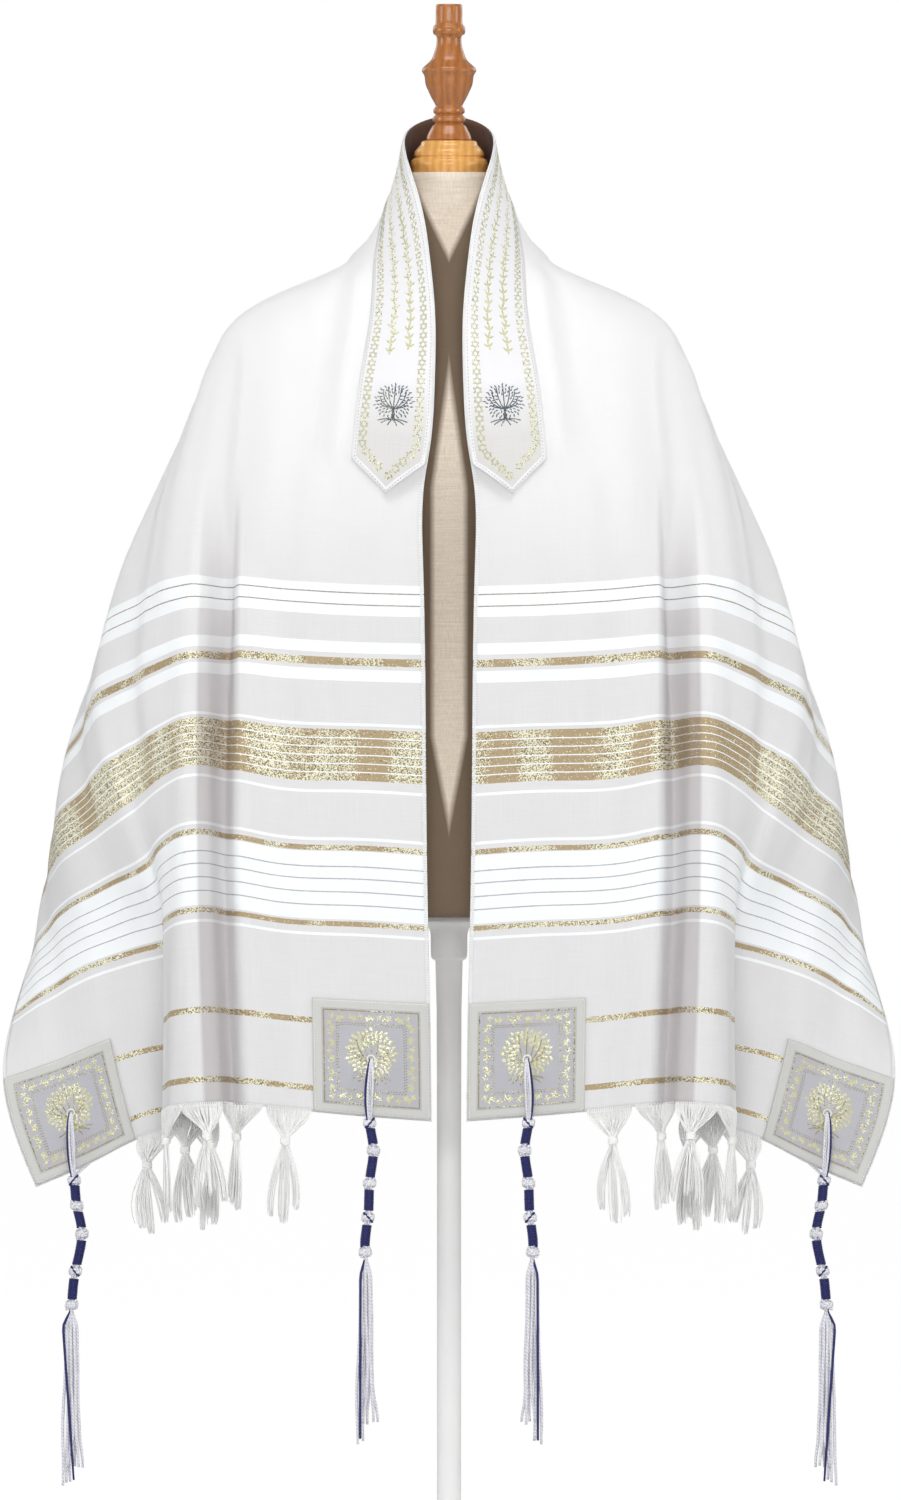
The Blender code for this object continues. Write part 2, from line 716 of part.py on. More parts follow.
def turned(name, profile, top, sides, collection, material):
    """A turned piece: a closed half profile carried round Z with a Screw modifier."""
    outline = [(0.0, 0.0, top)]
    outline += [(radius, 0.0, top - below) for radius, below in profile]
    outline.append((0.0, 0.0, outline[-1][2]))
    edges = [(place, place + 1) for place in range(len(outline) - 1)]
    mesh = bpy.data.meshes.new(name)
    mesh.from_pydata(outline, edges, [])
    made = add_object(name, mesh, collection, material)
    screw = made.modifiers.new("turn", "SCREW")
    screw.steps = sides
    screw.render_steps = sides
    screw.use_merge_vertices = True
    screw.merge_threshold = 0.00005
    screw.use_smooth_shade = True


def make_stand(collection, material):
    bevel = 0.003
    base_profile = (
        (POLE_RADIUS + 0.012, 0.0),
        (POLE_RADIUS + 0.014, 0.004),
        (POLE_RADIUS + 0.020, 0.010),
        (BASE_RADIUS * 0.60, 0.014),
        (BASE_RADIUS - bevel, 0.020),
        (BASE_RADIUS, 0.020 + bevel),
        (BASE_RADIUS, 0.020 + BASE_HEIGHT - bevel),
    )
    turned("stand_base", base_profile, 0.020 + BASE_HEIGHT - bevel, 36, collection, material)
    pole_bottom = 0.020 + BASE_HEIGHT - bevel + SEAM_GAP
    pole_top = FORM_BOTTOM - SEAM_GAP
    pole_profile = (
        (POLE_RADIUS + 0.030, 0.0),
        (POLE_RADIUS + 0.030, 0.006),
        (POLE_RADIUS + 0.006, 0.010),
        (POLE_RADIUS + 0.006, 0.040),
        (POLE_RADIUS, 0.043),
        (POLE_RADIUS, pole_top - pole_bottom),
    )
    turned("stand_pole", pole_profile, pole_top, 20, collection, material)


def main():
    clear_scene()
    parts = bpy.data.collections.new("tallit_on_dress_form")
    bpy.context.scene.collection.children.link(parts)
    materials = {name: make_material(name) for name in COLOURS}
    make_stand(parts, materials["white steel"])
    make_torso(parts, materials["jersey"])
    turned("neck_cap", CAP_PROFILE, CAP_TOP, 24, parts, materials["honey wood"])
    turned("finial", FINIAL_PROFILE, FINIAL_TOP, 20, parts, materials["brown wood"])
    make_shawl(parts, materials["cloth"])
    make_neckband(parts, materials["satin"])
    make_patches(parts, materials["satin"])
    make_fringe(parts, materials["thread"])
    make_corner_tassels(parts, materials["thread"])


main()
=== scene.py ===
"""Looks of a tallit prayer shawl worn by a limbless dress form.

Metres, +Z up, the form's front towards -Y. Every place on the cloth has two measures: run, along the
long way from the middle of the back, and across, from the edge at the neck. Every sewn piece, thread
and motif is worked out from the same sheet, raised along its normal.
"""
import math

import bmesh
import bpy
import numpy as np
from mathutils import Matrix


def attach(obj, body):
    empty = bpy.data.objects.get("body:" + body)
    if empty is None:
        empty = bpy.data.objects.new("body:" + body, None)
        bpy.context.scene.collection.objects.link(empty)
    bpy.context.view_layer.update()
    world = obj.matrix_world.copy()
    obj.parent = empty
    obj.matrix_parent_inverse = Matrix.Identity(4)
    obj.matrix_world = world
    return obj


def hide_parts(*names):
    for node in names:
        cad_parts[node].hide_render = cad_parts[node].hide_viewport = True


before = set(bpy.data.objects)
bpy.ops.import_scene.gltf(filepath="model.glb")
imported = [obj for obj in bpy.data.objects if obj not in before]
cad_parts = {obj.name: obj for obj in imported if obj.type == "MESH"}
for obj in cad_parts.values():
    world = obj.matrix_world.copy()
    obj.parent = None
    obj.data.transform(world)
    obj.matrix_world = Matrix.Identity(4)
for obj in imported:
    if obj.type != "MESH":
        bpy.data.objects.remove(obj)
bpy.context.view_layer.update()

# Cloth, as cut
HALF_RUN = 1.065
WIDTH = 0.56
WALL = 0.0012
SEAM_GAP = 0.0003
SATIN_WALL = 0.0010
SATIN_TOP = WALL / 2.0 + SEAM_GAP + SATIN_WALL

# Neckband and corner patches
EDGE_MARGIN = 0.0012
BAND_WIDTH = 0.0748
BAND_CORNER = 0.443
BAND_TIP = 0.473
BAND_END_LIFT = 0.0014
BAND_CURL = 0.0062
PATCH_SIDE = 0.111
EYELET_IN = 0.056
EYELET_ACROSS = {"inner": EDGE_MARGIN + EYELET_IN, "outer": WIDTH - PATCH_SIDE / 2.0 - EDGE_MARGIN}

# Fringe and corner tassels
FRINGE_ACROSS = (0.135, 0.180, 0.218, 0.255, 0.310, 0.372, 0.430)
FRINGE_DROP = (0.078, 0.070, 0.068, 0.074, 0.070, 0.072, 0.066)
FRINGE_FUNNEL = 0.026
FRINGE_GATHER = 0.044
TASSEL_GAP = 0.0006
FRINGE_STRANDS = 46
FRINGE_RADIUS = 0.00066
FRINGE_TIP = 0.0003
BUNCH_LIMITS = (-0.36, 0.30)
BUNCH_ASIDE = (-0.0095, 0.0005, 0.0088)
BUNCH_REACH = (0.84, 1.0, 0.92)

# Form and stand
FORM_BOTTOM = 0.810
FORM_TOP = 1.5195
SEAM_UP = 1.4236
CAP_TOP = 1.5500
FINIAL_TOP = 1.6805
BASE_TOP = 0.031
POLE_RADIUS = 0.0115

# Camera: the image is 901 by 1500 pixels, 0.95 mm a pixel on the front of the cloth
IMAGE_HEIGHT_PX = 1500.0
METRES_A_PIXEL = 0.00095
CAMERA_DISTANCE = 20.0
FRONT_PLANE = -0.10
CAMERA_OUT = 0.0014
CAMERA_UP = 0.9685
SENSOR = 36.0
WORLD_LIGHT = 0.265
WORLD_SEEN = 1.0

# Studio lights. Columns: name, place, width and height, watts.
LIGHT_AIM = (0.0, -0.05, 1.0)
LIGHTS = (
    ("front", (0.0, -4.4, 1.7), (2.4, 0.9), 66.0),
    ("top", (0.0, -1.8, 4.6), (2.6, 1.4), 70.0),
    ("side_left", (-4.2, -1.5, 2.0), (1.0, 1.6), 39.0),
    ("side_right", (4.2, -1.5, 2.0), (1.0, 1.6), 39.0),
    ("back_left", (-2.6, 3.2, 2.6), (1.6, 2.0), 22.0),
    ("back_right", (2.6, 3.2, 2.6), (1.6, 2.0), 22.0),
)
FLOOR_HALF = 40.0
FLOOR_GLOW = 0.75

# Guide lines of the right-hand half of the cloth. Columns: run, out from the centre, back, up.
NECK_EDGE = (
    (0.000, 0.000, 0.062, 1.5755),
    (0.041, 0.033, 0.044, 1.5660),
    (0.074, 0.042, 0.015, 1.5530),
    (0.108, 0.041, -0.015, 1.5375),
    (0.143, 0.036, -0.045, 1.5195),
    (0.177, 0.0275, -0.062, 1.4910),
    (0.240, 0.018, -0.088, 1.4340),
    (0.290, 0.0135, -0.105, 1.3865),
    (0.360, 0.0135, -0.128, 1.3200),
    (0.425, 0.018, -0.139, 1.2560),
    (0.460, 0.0235, -0.142, 1.2210),
    (0.530, 0.0247, -0.142, 1.1490),
    (0.620, 0.0228, -0.140, 1.0635),
    (0.870, 0.020, -0.136, 0.8100),
    (0.950, 0.018, -0.134, 0.7310),
    (1.065, 0.0165, -0.132, 0.6160),
)
BAND_LINE = (
    (0.000, 0.000, 0.080, 1.5024),
    (0.041, 0.039, 0.071, 1.5005),
    (0.074, 0.054, 0.048, 1.4948),
    (0.108, 0.0605, 0.020, 1.4863),
    (0.143, 0.0655, -0.012, 1.4644),
    (0.177, 0.0694, -0.036, 1.4435),
    (0.240, 0.0722, -0.062, 1.4160),
    (0.290, 0.0751, -0.085, 1.3790),
    (0.360, 0.0846, -0.110, 1.3219),
    (0.460, 0.0940, -0.136, 1.2269),
    (0.530, 0.0979, -0.143, 1.1519),
    (0.620, 0.0979, -0.144, 1.0654),
    (0.870, 0.0940, -0.142, 0.8147),
    (1.065, 0.0912, -0.140, 0.6218),
)
CHEST_LINE = (
    (0.000, 0.000, 0.108, 1.4321),
    (0.074, 0.0694, 0.085, 1.4388),
    (0.143, 0.0988, 0.033, 1.4321),
    (0.240, 0.1416, -0.022, 1.4055),
    (0.360, 0.1558, -0.078, 1.3314),
    (0.460, 0.1682, -0.122, 1.2269),
    (0.530, 0.1720, -0.134, 1.1557),
    (0.620, 0.1720, -0.140, 1.0702),
    (0.870, 0.1700, -0.146, 0.8194),
    (1.065, 0.1663, -0.147, 0.6294),
)
RIDGE_LINE = (
    (0.000, 0.000, 0.134, 1.3723),
    (0.074, 0.0789, 0.113, 1.3789),
    (0.143, 0.1207, 0.080, 1.3979),
    (0.240, 0.1957, 0.020, 1.3846),
    (0.360, 0.2166, -0.045, 1.3276),
    (0.460, 0.2290, -0.090, 1.2317),
    (0.530, 0.2347, -0.117, 1.1604),
    (0.620, 0.2375, -0.136, 1.0721),
    (0.740, 0.2385, -0.150, 0.9619),
    (0.870, 0.2375, -0.156, 0.8289),
    (1.065, 0.2309, -0.157, 0.6332),
)
LIP_LINE = (
    (0.000, 0.000, 0.150, 1.3153),
    (0.074, 0.0836, 0.135, 1.3238),
    (0.143, 0.1358, 0.112, 1.3533),
    (0.240, 0.2024, 0.065, 1.3390),
    (0.360, 0.2404, 0.006, 1.3058),
    (0.460, 0.2717, -0.050, 1.2155),
    (0.530, 0.2822, -0.085, 1.1490),
    (0.620, 0.2879, -0.112, 1.0559),
    (0.740, 0.2800, -0.128, 0.9448),
    (0.870, 0.2717, -0.124, 0.8146),
    (1.065, 0.2727, -0.118, 0.6246),
)
HEART_LINE = (
    (0.000, 0.000, 0.162, 1.2478),
    (0.074, 0.0865, 0.150, 1.2554),
    (0.143, 0.1454, 0.138, 1.2896),
    (0.240, 0.2024, 0.108, 1.2773),
    (0.360, 0.2489, 0.058, 1.2583),
    (0.460, 0.2917, 0.005, 1.1842),
    (0.530, 0.3145, -0.030, 1.1224),
    (0.620, 0.3316, -0.068, 1.0303),
    (0.740, 0.3080, -0.106, 0.9230),
    (0.870, 0.2640, -0.092, 0.8010),
    (0.950, 0.2318, -0.085, 0.7196),
    (1.065, 0.2214, -0.088, 0.6151),
)
WING_LINE = (
    (0.000, 0.000, 0.169, 1.1747),
    (0.074, 0.0874, 0.160, 1.1823),
    (0.143, 0.1501, 0.155, 1.2174),
    (0.240, 0.2014, 0.138, 1.2098),
    (0.360, 0.2480, 0.105, 1.2013),
    (0.460, 0.2955, 0.060, 1.1348),
    (0.530, 0.3259, 0.030, 1.0730),
    (0.620, 0.3582, -0.015, 0.9828),
    (0.740, 0.3545, -0.070, 0.8880),
    (0.870, 0.3116, -0.068, 0.7842),
    (0.950, 0.2936, -0.068, 0.7054),
    (1.065, 0.2717, -0.066, 0.6066),
)
WING_OUTER_LINE = (
    (0.000, 0.000, 0.171, 1.1063),
    (0.074, 0.0884, 0.166, 1.1129),
    (0.143, 0.1520, 0.166, 1.1490),
    (0.240, 0.2005, 0.152, 1.1433),
    (0.360, 0.2442, 0.140, 1.1395),
    (0.460, 0.2850, 0.112, 1.0887),
    (0.530, 0.3202, 0.086, 1.0236),
    (0.620, 0.3582, 0.045, 0.9305),
    (0.740, 0.3867, 0.002, 0.8450),
    (0.870, 0.3715, -0.042, 0.7576),
    (0.950, 0.3601, -0.052, 0.6816),
    (1.065, 0.3335, -0.064, 0.5790),
)
OUTER_EDGE = (
    (0.000, 0.000, 0.172, 1.0369),
    (0.074, 0.0884, 0.169, 1.0436),
    (0.143, 0.1520, 0.170, 1.0797),
    (0.240, 0.1986, 0.160, 1.0740),
    (0.360, 0.2394, 0.160, 1.0759),
    (0.460, 0.2765, 0.143, 1.0303),
    (0.530, 0.3088, 0.125, 0.9704),
    (0.620, 0.3468, 0.100, 0.8783),
    (0.740, 0.3860, 0.050, 0.7975),
    (0.870, 0.4142, -0.006, 0.7215),
    (0.950, 0.4251, -0.036, 0.6569),
    (1.065, 0.3933, -0.064, 0.5524),
)
# Columns: across, guide line.
GUIDES = (
    (0.000, NECK_EDGE),
    (0.075, BAND_LINE),
    (0.150, CHEST_LINE),
    (0.215, RIDGE_LINE),
    (0.275, LIP_LINE),
    (0.345, HEART_LINE),
    (0.420, WING_LINE),
    (0.490, WING_OUTER_LINE),
    (0.560, OUTER_EDGE),
)

# Folds behind each shoulder. Columns: run at the middle, half length of cloth, across where it
# starts, depth at the outer edge.
BACK_FOLDS = (
    (0.130, 0.040, 0.16, 0.014),
    (0.190, 0.034, 0.20, -0.020),
    (0.248, 0.034, 0.22, 0.024),
    (0.306, 0.034, 0.26, -0.022),
    (0.362, 0.034, 0.28, 0.024),
    (0.420, 0.036, 0.30, -0.018),
)

# Soft ridges and troughs, listed one by one. Columns: run and across at one end, run and across at the
# other, half width on the side of the neck edge, half width on the outer side, height (below zero
# for a trough).
CREASES = (
    (0.420, 0.224, 1.160, 0.230, 0.014, 0.030, 0.0040),
    (0.450, 0.186, 1.230, 0.182, 0.010, 0.036, -0.0270),
    (0.500, 0.166, 1.180, 0.164, 0.026, 0.010, 0.0030),
    (0.520, 0.136, 0.860, 0.134, 0.022, 0.018, -0.0022),
    (0.400, 0.112, 0.720, 0.108, 0.022, 0.022, 0.0030),
    (0.500, 0.060, 0.760, 0.062, 0.028, 0.028, -0.0026),
    (0.180, 0.092, 0.460, 0.090, 0.013, 0.013, 0.0044),
    (0.180, 0.113, 0.460, 0.116, 0.014, 0.018, -0.0030),
    (0.250, 0.160, 0.560, 0.150, 0.030, 0.030, 0.0030),
    (0.290, 0.205, 0.600, 0.196, 0.016, 0.026, -0.0032),
    (0.300, 0.240, 0.600, 0.254, 0.022, 0.022, 0.0036),
    (0.340, 0.290, 0.760, 0.300, 0.022, 0.030, -0.0040),
    (0.420, 0.330, 0.900, 0.366, 0.026, 0.026, 0.0042),
    (0.460, 0.384, 0.960, 0.414, 0.024, 0.030, -0.0046),
    (0.520, 0.430, 1.000, 0.455, 0.026, 0.026, 0.0036),
    (0.560, 0.490, 1.000, 0.500, 0.026, 0.026, -0.0034),
    (0.880, 0.262, 1.160, 0.266, 0.020, 0.014, -0.0034),
    (0.820, 0.104, 1.160, 0.118, 0.030, 0.030, 0.0030),
    (0.780, 0.070, 1.000, 0.072, 0.026, 0.026, -0.0024),
    (0.900, 0.374, 1.160, 0.368, 0.016, 0.016, 0.0034),
    (0.920, 0.408, 1.160, 0.402, 0.016, 0.020, -0.0034),
    (0.000, 0.120, 0.150, 0.140, 0.018, 0.018, 0.0030),
    (0.000, 0.160, 0.130, 0.190, 0.018, 0.018, -0.0026),
    (0.000, 0.240, 0.000, 0.600, 0.040, 0.040, 0.0050),
    (0.075, 0.220, 0.060, 0.600, 0.028, 0.028, -0.0050),
    (0.160, 0.150, 0.110, 0.400, 0.022, 0.022, 0.0034),
)

# Woven bands. Columns: start and end, as distances from the hem.
WHITE_BANDS = (
    (0.4779, 0.5092), (0.4399, 0.4513), (0.4123, 0.4237), (0.3690, 0.3718),
    (0.3570, 0.3581), (0.3490, 0.3501), (0.3409, 0.3420), (0.3328, 0.3339), (0.3248, 0.3259),
    (0.3064, 0.3092), (0.2618, 0.2646), (0.1881, 0.2518), (0.1725, 0.1753),
)
GOLD_BANDS = (
    (0.4275, 0.4351), (0.3173, 0.3658), (0.2527, 0.2575), (0.1815, 0.1862),
    (0.0874, 0.0931), (0.0209, 0.0266),
)
LINE_BANDS = (
    (0.5001, 0.5011), (0.4882, 0.4892),
    (0.2370, 0.2380), (0.2256, 0.2266), (0.2133, 0.2143), (0.2009, 0.2019),
)

# Painted shade on the cloth: the inner side of the collar is painted dark from one height to another,
# and the deep fold is painted darker between four distances across, growing along the run to a share.
COLLAR_PAINTED_SHADE = (1.47, 1.53)
FOLD_NEAR = (0.178, 0.183)
FOLD_FAR = (0.2175, 0.2145)
FOLD_RUN = (0.46, 0.66)
FOLD_SHADE_SHARE = 0.36

# Pale zones of the jersey's front, left clear of its painted brown shadow. Each slanted limit is a
# slope, as half width for a metre of height, and the height of its tip.
THROAT_SLOPE, THROAT_TIP = 0.48, 1.4385
OPENING_SLOPE, OPENING_TIP = 0.142, 1.324
CLOSING_SLOPE, CLOSING_TIP = 0.19, 0.902
PALE_HALF = 0.0152
PAINTED_SHADOW_FADE = (0.034, 0.050)

# Rows and columns of the cloth's mesh
BACK_END = 0.391
BACK_ROWS = 63
FRONT_ROWS = 131
COLUMN_ENDS = (0.0, 0.165, 0.20, 0.30, WIDTH)
COLUMN_COUNTS = (32, 20, 27, 48)

# Neckband ornament
STAR_SIZE = 0.0046
STAR_PITCH = 0.0094
STAR_LINE = 0.00060
CHAIN_INNER = 0.0132
CHAIN_OUTER = 0.0650
CHAIN_END = 0.431
CHAIN_TIP = 0.4585
SPRIG_PITCH = 0.0092
SPRIG_END = 0.335
SPRIG_ACROSS = (0.0290, 0.0475)
BAND_TREE_RUN = 0.392

# Patch ornament
FRAME_INSET = 0.0105
FRAME_LINE = 0.0009
DOT_INSET = 0.0235
DOT_PITCH = 0.0027

# Turned profiles, top to bottom. Columns: radius, height below the top of the piece.
FINIAL_PROFILE = (
    (0.0117, 0.0000), (0.0127, 0.0015), (0.0127, 0.0190), (0.0150, 0.0215), (0.0157, 0.0250),
    (0.0150, 0.0285), (0.0116, 0.0305), (0.0122, 0.0400), (0.0165, 0.0530), (0.0255, 0.0610),
    (0.0262, 0.0640), (0.0235, 0.0680), (0.0225, 0.0770), (0.0170, 0.0890), (0.0122, 0.0975),
    (0.0150, 0.1000), (0.0150, 0.1035), (0.0125, 0.1055), (0.0157, 0.1080), (0.0157, 0.1120),
    (0.0130, 0.1140), (0.0160, 0.1160), (0.0205, 0.1245), (0.0219, 0.1300),
)
CAP_PROFILE = (
    (0.0250, 0.0000), (0.0266, 0.0010), (0.0275, 0.0040), (0.0325, 0.0095), (0.0337, 0.0140),
    (0.0325, 0.0160), (0.0362, 0.0185), (0.0371, 0.0225), (0.0365, 0.0265), (0.0352, 0.0302),
)
BASE_PROFILE = (
    (0.0235, 0.0000), (0.0255, 0.0040), (0.0315, 0.0100), (0.1110, 0.0140),
    (0.1820, 0.0200), (0.1850, 0.0230), (0.1850, 0.0310),
)

# Sections of the form's torso. Columns: up, half width, front, back.
TORSO_SECTIONS = (
    (0.810, 0.166, 0.104, 0.112),
    (0.870, 0.172, 0.108, 0.122),
    (0.940, 0.164, 0.104, 0.116),
    (1.010, 0.141, 0.094, 0.098),
    (1.070, 0.126, 0.088, 0.086),
    (1.130, 0.133, 0.095, 0.088),
    (1.200, 0.152, 0.112, 0.098),
    (1.255, 0.165, 0.119, 0.108),
    (1.310, 0.177, 0.106, 0.114),
    (1.350, 0.184, 0.088, 0.108),
    (1.372, 0.182, 0.076, 0.099),
    (1.390, 0.167, 0.067, 0.089),
    (1.404, 0.141, 0.060, 0.080),
    (1.418, 0.109, 0.054, 0.070),
    (1.434, 0.080, 0.050, 0.060),
    (1.456, 0.058, 0.046, 0.051),
    (1.488, 0.045, 0.041, 0.043),
    (1.5195, 0.0385, 0.0385, 0.0385),
)
SECTION_POWER = 2.3

# Corner tassels. Columns: distance below the eyelet, sway towards the outer edge, half width.
CORD_TABLES = {
    "inner": (
        (0.000, 0.0000, 0.0040), (0.030, -0.0005, 0.0046), (0.056, 0.0020, 0.0036),
        (0.060, 0.0030, 0.0056), (0.065, 0.0010, 0.0042), (0.080, 0.0000, 0.0046),
        (0.084, -0.0020, 0.0060), (0.092, 0.0010, 0.0042), (0.111, 0.0010, 0.0046),
        (0.116, 0.0000, 0.0060), (0.124, 0.0020, 0.0042), (0.143, 0.0030, 0.0046),
        (0.149, 0.0030, 0.0060), (0.158, 0.0050, 0.0042), (0.177, 0.0060, 0.0046),
        (0.182, 0.0060, 0.0060), (0.189, 0.0050, 0.0044),
    ),
    "outer": (
        (0.000, 0.0000, 0.0040), (0.030, -0.0010, 0.0046), (0.058, -0.0030, 0.0036),
        (0.064, -0.0035, 0.0056), (0.069, -0.0045, 0.0042), (0.083, -0.0060, 0.0046),
        (0.088, -0.0065, 0.0060), (0.094, -0.0080, 0.0042), (0.109, -0.0110, 0.0046),
        (0.115, -0.0125, 0.0060), (0.122, -0.0110, 0.0042), (0.144, -0.0055, 0.0046),
        (0.151, -0.0050, 0.0060), (0.159, -0.0045, 0.0042), (0.177, -0.0020, 0.0046),
        (0.182, -0.0010, 0.0060), (0.189, -0.0010, 0.0044),
    ),
}
# Loose ends. Columns of a bunch: distance aside, share of the length, how far its ends part.
TAIL_BUNCHES = ((-0.0050, 0.985, 0.0003), (0.0046, 0.90, 0.0024))
TAIL_RADIUS = 0.00165
# The navy end hangs before the white ones, from one distance aside to another.
NAVY_END = 1
NAVY_DEPTH = 0.0044
NAVY_SWAY = {"inner": (-0.0050, -0.0056), "outer": (-0.0088, 0.0030)}
TAIL_LENGTH = {"inner": 0.180, "outer": 0.170}
# Knots and navy windings as rows of the tables above: distance below the eyelet.
CORD_KNOTS = {
    "inner": (0.0605, 0.0865, 0.1175, 0.1500, 0.1830),
    "outer": (0.0640, 0.0880, 0.1150, 0.1505, 0.1825),
}
CORD_WINDINGS = {
    "inner": ((0.0655, 0.0805), (0.0925, 0.1115), (0.1240, 0.1435), (0.1575, 0.1775)),
    "outer": ((0.0690, 0.0830), (0.0940, 0.1090), (0.1215, 0.1445), (0.1580, 0.1775)),
}


def natural_spline(knots, values, where):
    """Natural cubic spline: on each span a(z-x)^3 + b(x-w)^3 plus a line, with the bends a and b solved
    from the knots. values has a row for each knot, the result a row for each place."""
    knots = np.asarray(knots, float)
    values = np.asarray(values, float)
    count = len(knots)
    step = np.diff(knots)
    slope = np.diff(values, axis=0) / step[:, None]
    system = np.eye(count)
    right = np.zeros_like(values)
    inner = np.arange(1, count - 1)
    system[inner, inner] = 2.0 * (step[:-1] + step[1:])
    system[inner, inner - 1] = step[:-1]
    system[inner, inner + 1] = step[1:]
    right[1:-1] = 6.0 * (slope[1:] - slope[:-1])
    bend = np.linalg.solve(system, right)
    span = np.clip(np.searchsorted(knots, where) - 1, 0, count - 2)
    width = step[span][:, None]
    low = (knots[span + 1] - where)[:, None]
    high = (where - knots[span])[:, None]
    curve = (bend[span] * low ** 3 + bend[span + 1] * high ** 3) / (6.0 * width)
    line = (values[span] / width - bend[span] * width / 6.0) * low
    return curve + line + (values[span + 1] / width - bend[span + 1] * width / 6.0) * high


def smooth_rise(value):
    """3v^2 - 2v^3 of a value held between 0 and 1."""
    held = np.clip(value, 0.0, 1.0)
    return held * held * (3.0 - 2.0 * held)


def plain_cloth(run, across):
    """Each guide line is a spline over run, mirrored for the left half; a spline over across joins
    them."""
    weights = natural_spline([level for level, _ in GUIDES], np.eye(len(GUIDES)), across)
    found = np.zeros((len(run), 3))
    for number, (_, table) in enumerate(GUIDES):
        right = np.array(table)
        left = right[:0:-1] * np.array([-1.0, -1.0, 1.0, 1.0])
        rows = np.vstack([left, right])
        found += natural_spline(rows[:, 0], rows[:, 1:], run) * weights[:, number, None]
    return found


def normals_of(surface, run, across):
    """Cross product of the two central differences, made one long; it points to the side that shows."""
    small = 0.001
    along = surface(run + small, across) - surface(run - small, across)
    over = surface(run, across + small) - surface(run, across - small)
    normal = np.cross(along, over)
    return normal / np.linalg.norm(normal, axis=1)[:, None]


def fold_height(run, across):
    """Sum of cos^2 bumps over run, growing with across, and of creases: height times cos^2 of the
    distance to the crease's line over its half width, fading at the line's ends."""
    height = np.zeros(len(run))
    run = np.abs(run)
    for middle, half, start, depth in BACK_FOLDS:
        bump = np.cos(np.clip((run - middle) / half, -1.0, 1.0) * math.pi / 2.0) ** 2
        height += depth * bump * smooth_rise((across - start) / (WIDTH - start))
    for run_a, across_a, run_b, across_b, near, far, rise in CREASES:
        line = np.array((run_b - run_a, across_b - across_a))
        length = math.hypot(*line)
        place = ((run - run_a) * line[0] + (across - across_a) * line[1]) / length ** 2
        held = np.clip(place, 0.0, 1.0)
        aside = across - across_a - line[1] * held
        away = np.hypot(run - run_a - line[0] * held, aside)
        half = np.where(aside < 0.0, near, far)
        start_fade = 1.0 if run_a == 0.0 else smooth_rise(held / 0.22)
        bump = np.cos(np.clip(away / half, 0.0, 1.0) * math.pi / 2.0) ** 2
        height += rise * bump * start_fade * smooth_rise((1.0 - held) / 0.12)
    return height


def cloth(run, across):
    """The plain cloth moved along its normal by the height of its folds and creases."""
    outward = normals_of(plain_cloth, run, across)
    return plain_cloth(run, across) + outward * fold_height(run, across)[:, None]


def lifted(run, across, height):
    """The cloth moved along its own normal by a height."""
    run = np.asarray(run, float)
    across = np.asarray(across, float)
    return cloth(run, across) + normals_of(cloth, run, across) * np.reshape(height, (-1, 1))


def lifted_grid(run, across, height):
    """lifted for arrays of any one shape."""
    run, across, height = np.broadcast_arrays(run, across, height)
    return lifted(run.ravel(), across.ravel(), height.ravel()).reshape(run.shape + (3,))


def make_piece(name, points, faces, material, uv=None):
    """One mesh from arrays of points, quads and, where given, a UV pair for each point."""
    mesh = bpy.data.meshes.new(name)
    mesh.from_pydata(points.reshape(-1, 3).tolist(), [], faces.reshape(-1, 4).tolist())
    if uv is not None:
        corners = np.empty(len(mesh.loops), np.int32)
        mesh.loops.foreach_get("vertex_index", corners)
        layer = mesh.uv_layers.new(name="metres")
        layer.data.foreach_set("uv", uv.reshape(-1, 2)[corners].astype(np.float32).ravel())
    mesh.shade_smooth()
    mesh.materials.append(material)
    piece = bpy.data.objects.new(name, mesh)
    bpy.context.scene.collection.objects.link(piece)
    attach(piece, "root")
    return piece


def grid_faces(rows, columns, start=0):
    """Quads between neighbours of a rows by columns grid."""
    index = start + np.arange(rows * columns).reshape(rows, columns)
    corners = (index[:-1, :-1], index[1:, :-1], index[1:, 1:], index[:-1, 1:])
    return np.stack(corners, axis=-1).reshape(-1, 4)


def many_grids(count, rows, columns):
    """The quads of one grid, repeated for count grids in a row."""
    one = grid_faces(rows, columns)
    return (one[None] + np.arange(count)[:, None, None] * rows * columns).reshape(-1, 4)


def make_sheet(name, runs, acrosses, height, thickness, material):
    """A stretch of cloth over a grid of run and across, with a wall of a given thickness about it."""
    points = lifted_grid(runs, acrosses, height)
    uv = np.stack(np.broadcast_arrays(acrosses, runs), axis=-1)
    piece = make_piece(name, points, grid_faces(*runs.shape), material, uv)
    wall = piece.modifiers.new("wall", "SOLIDIFY")
    wall.thickness = thickness
    wall.offset = 0.0
    return piece


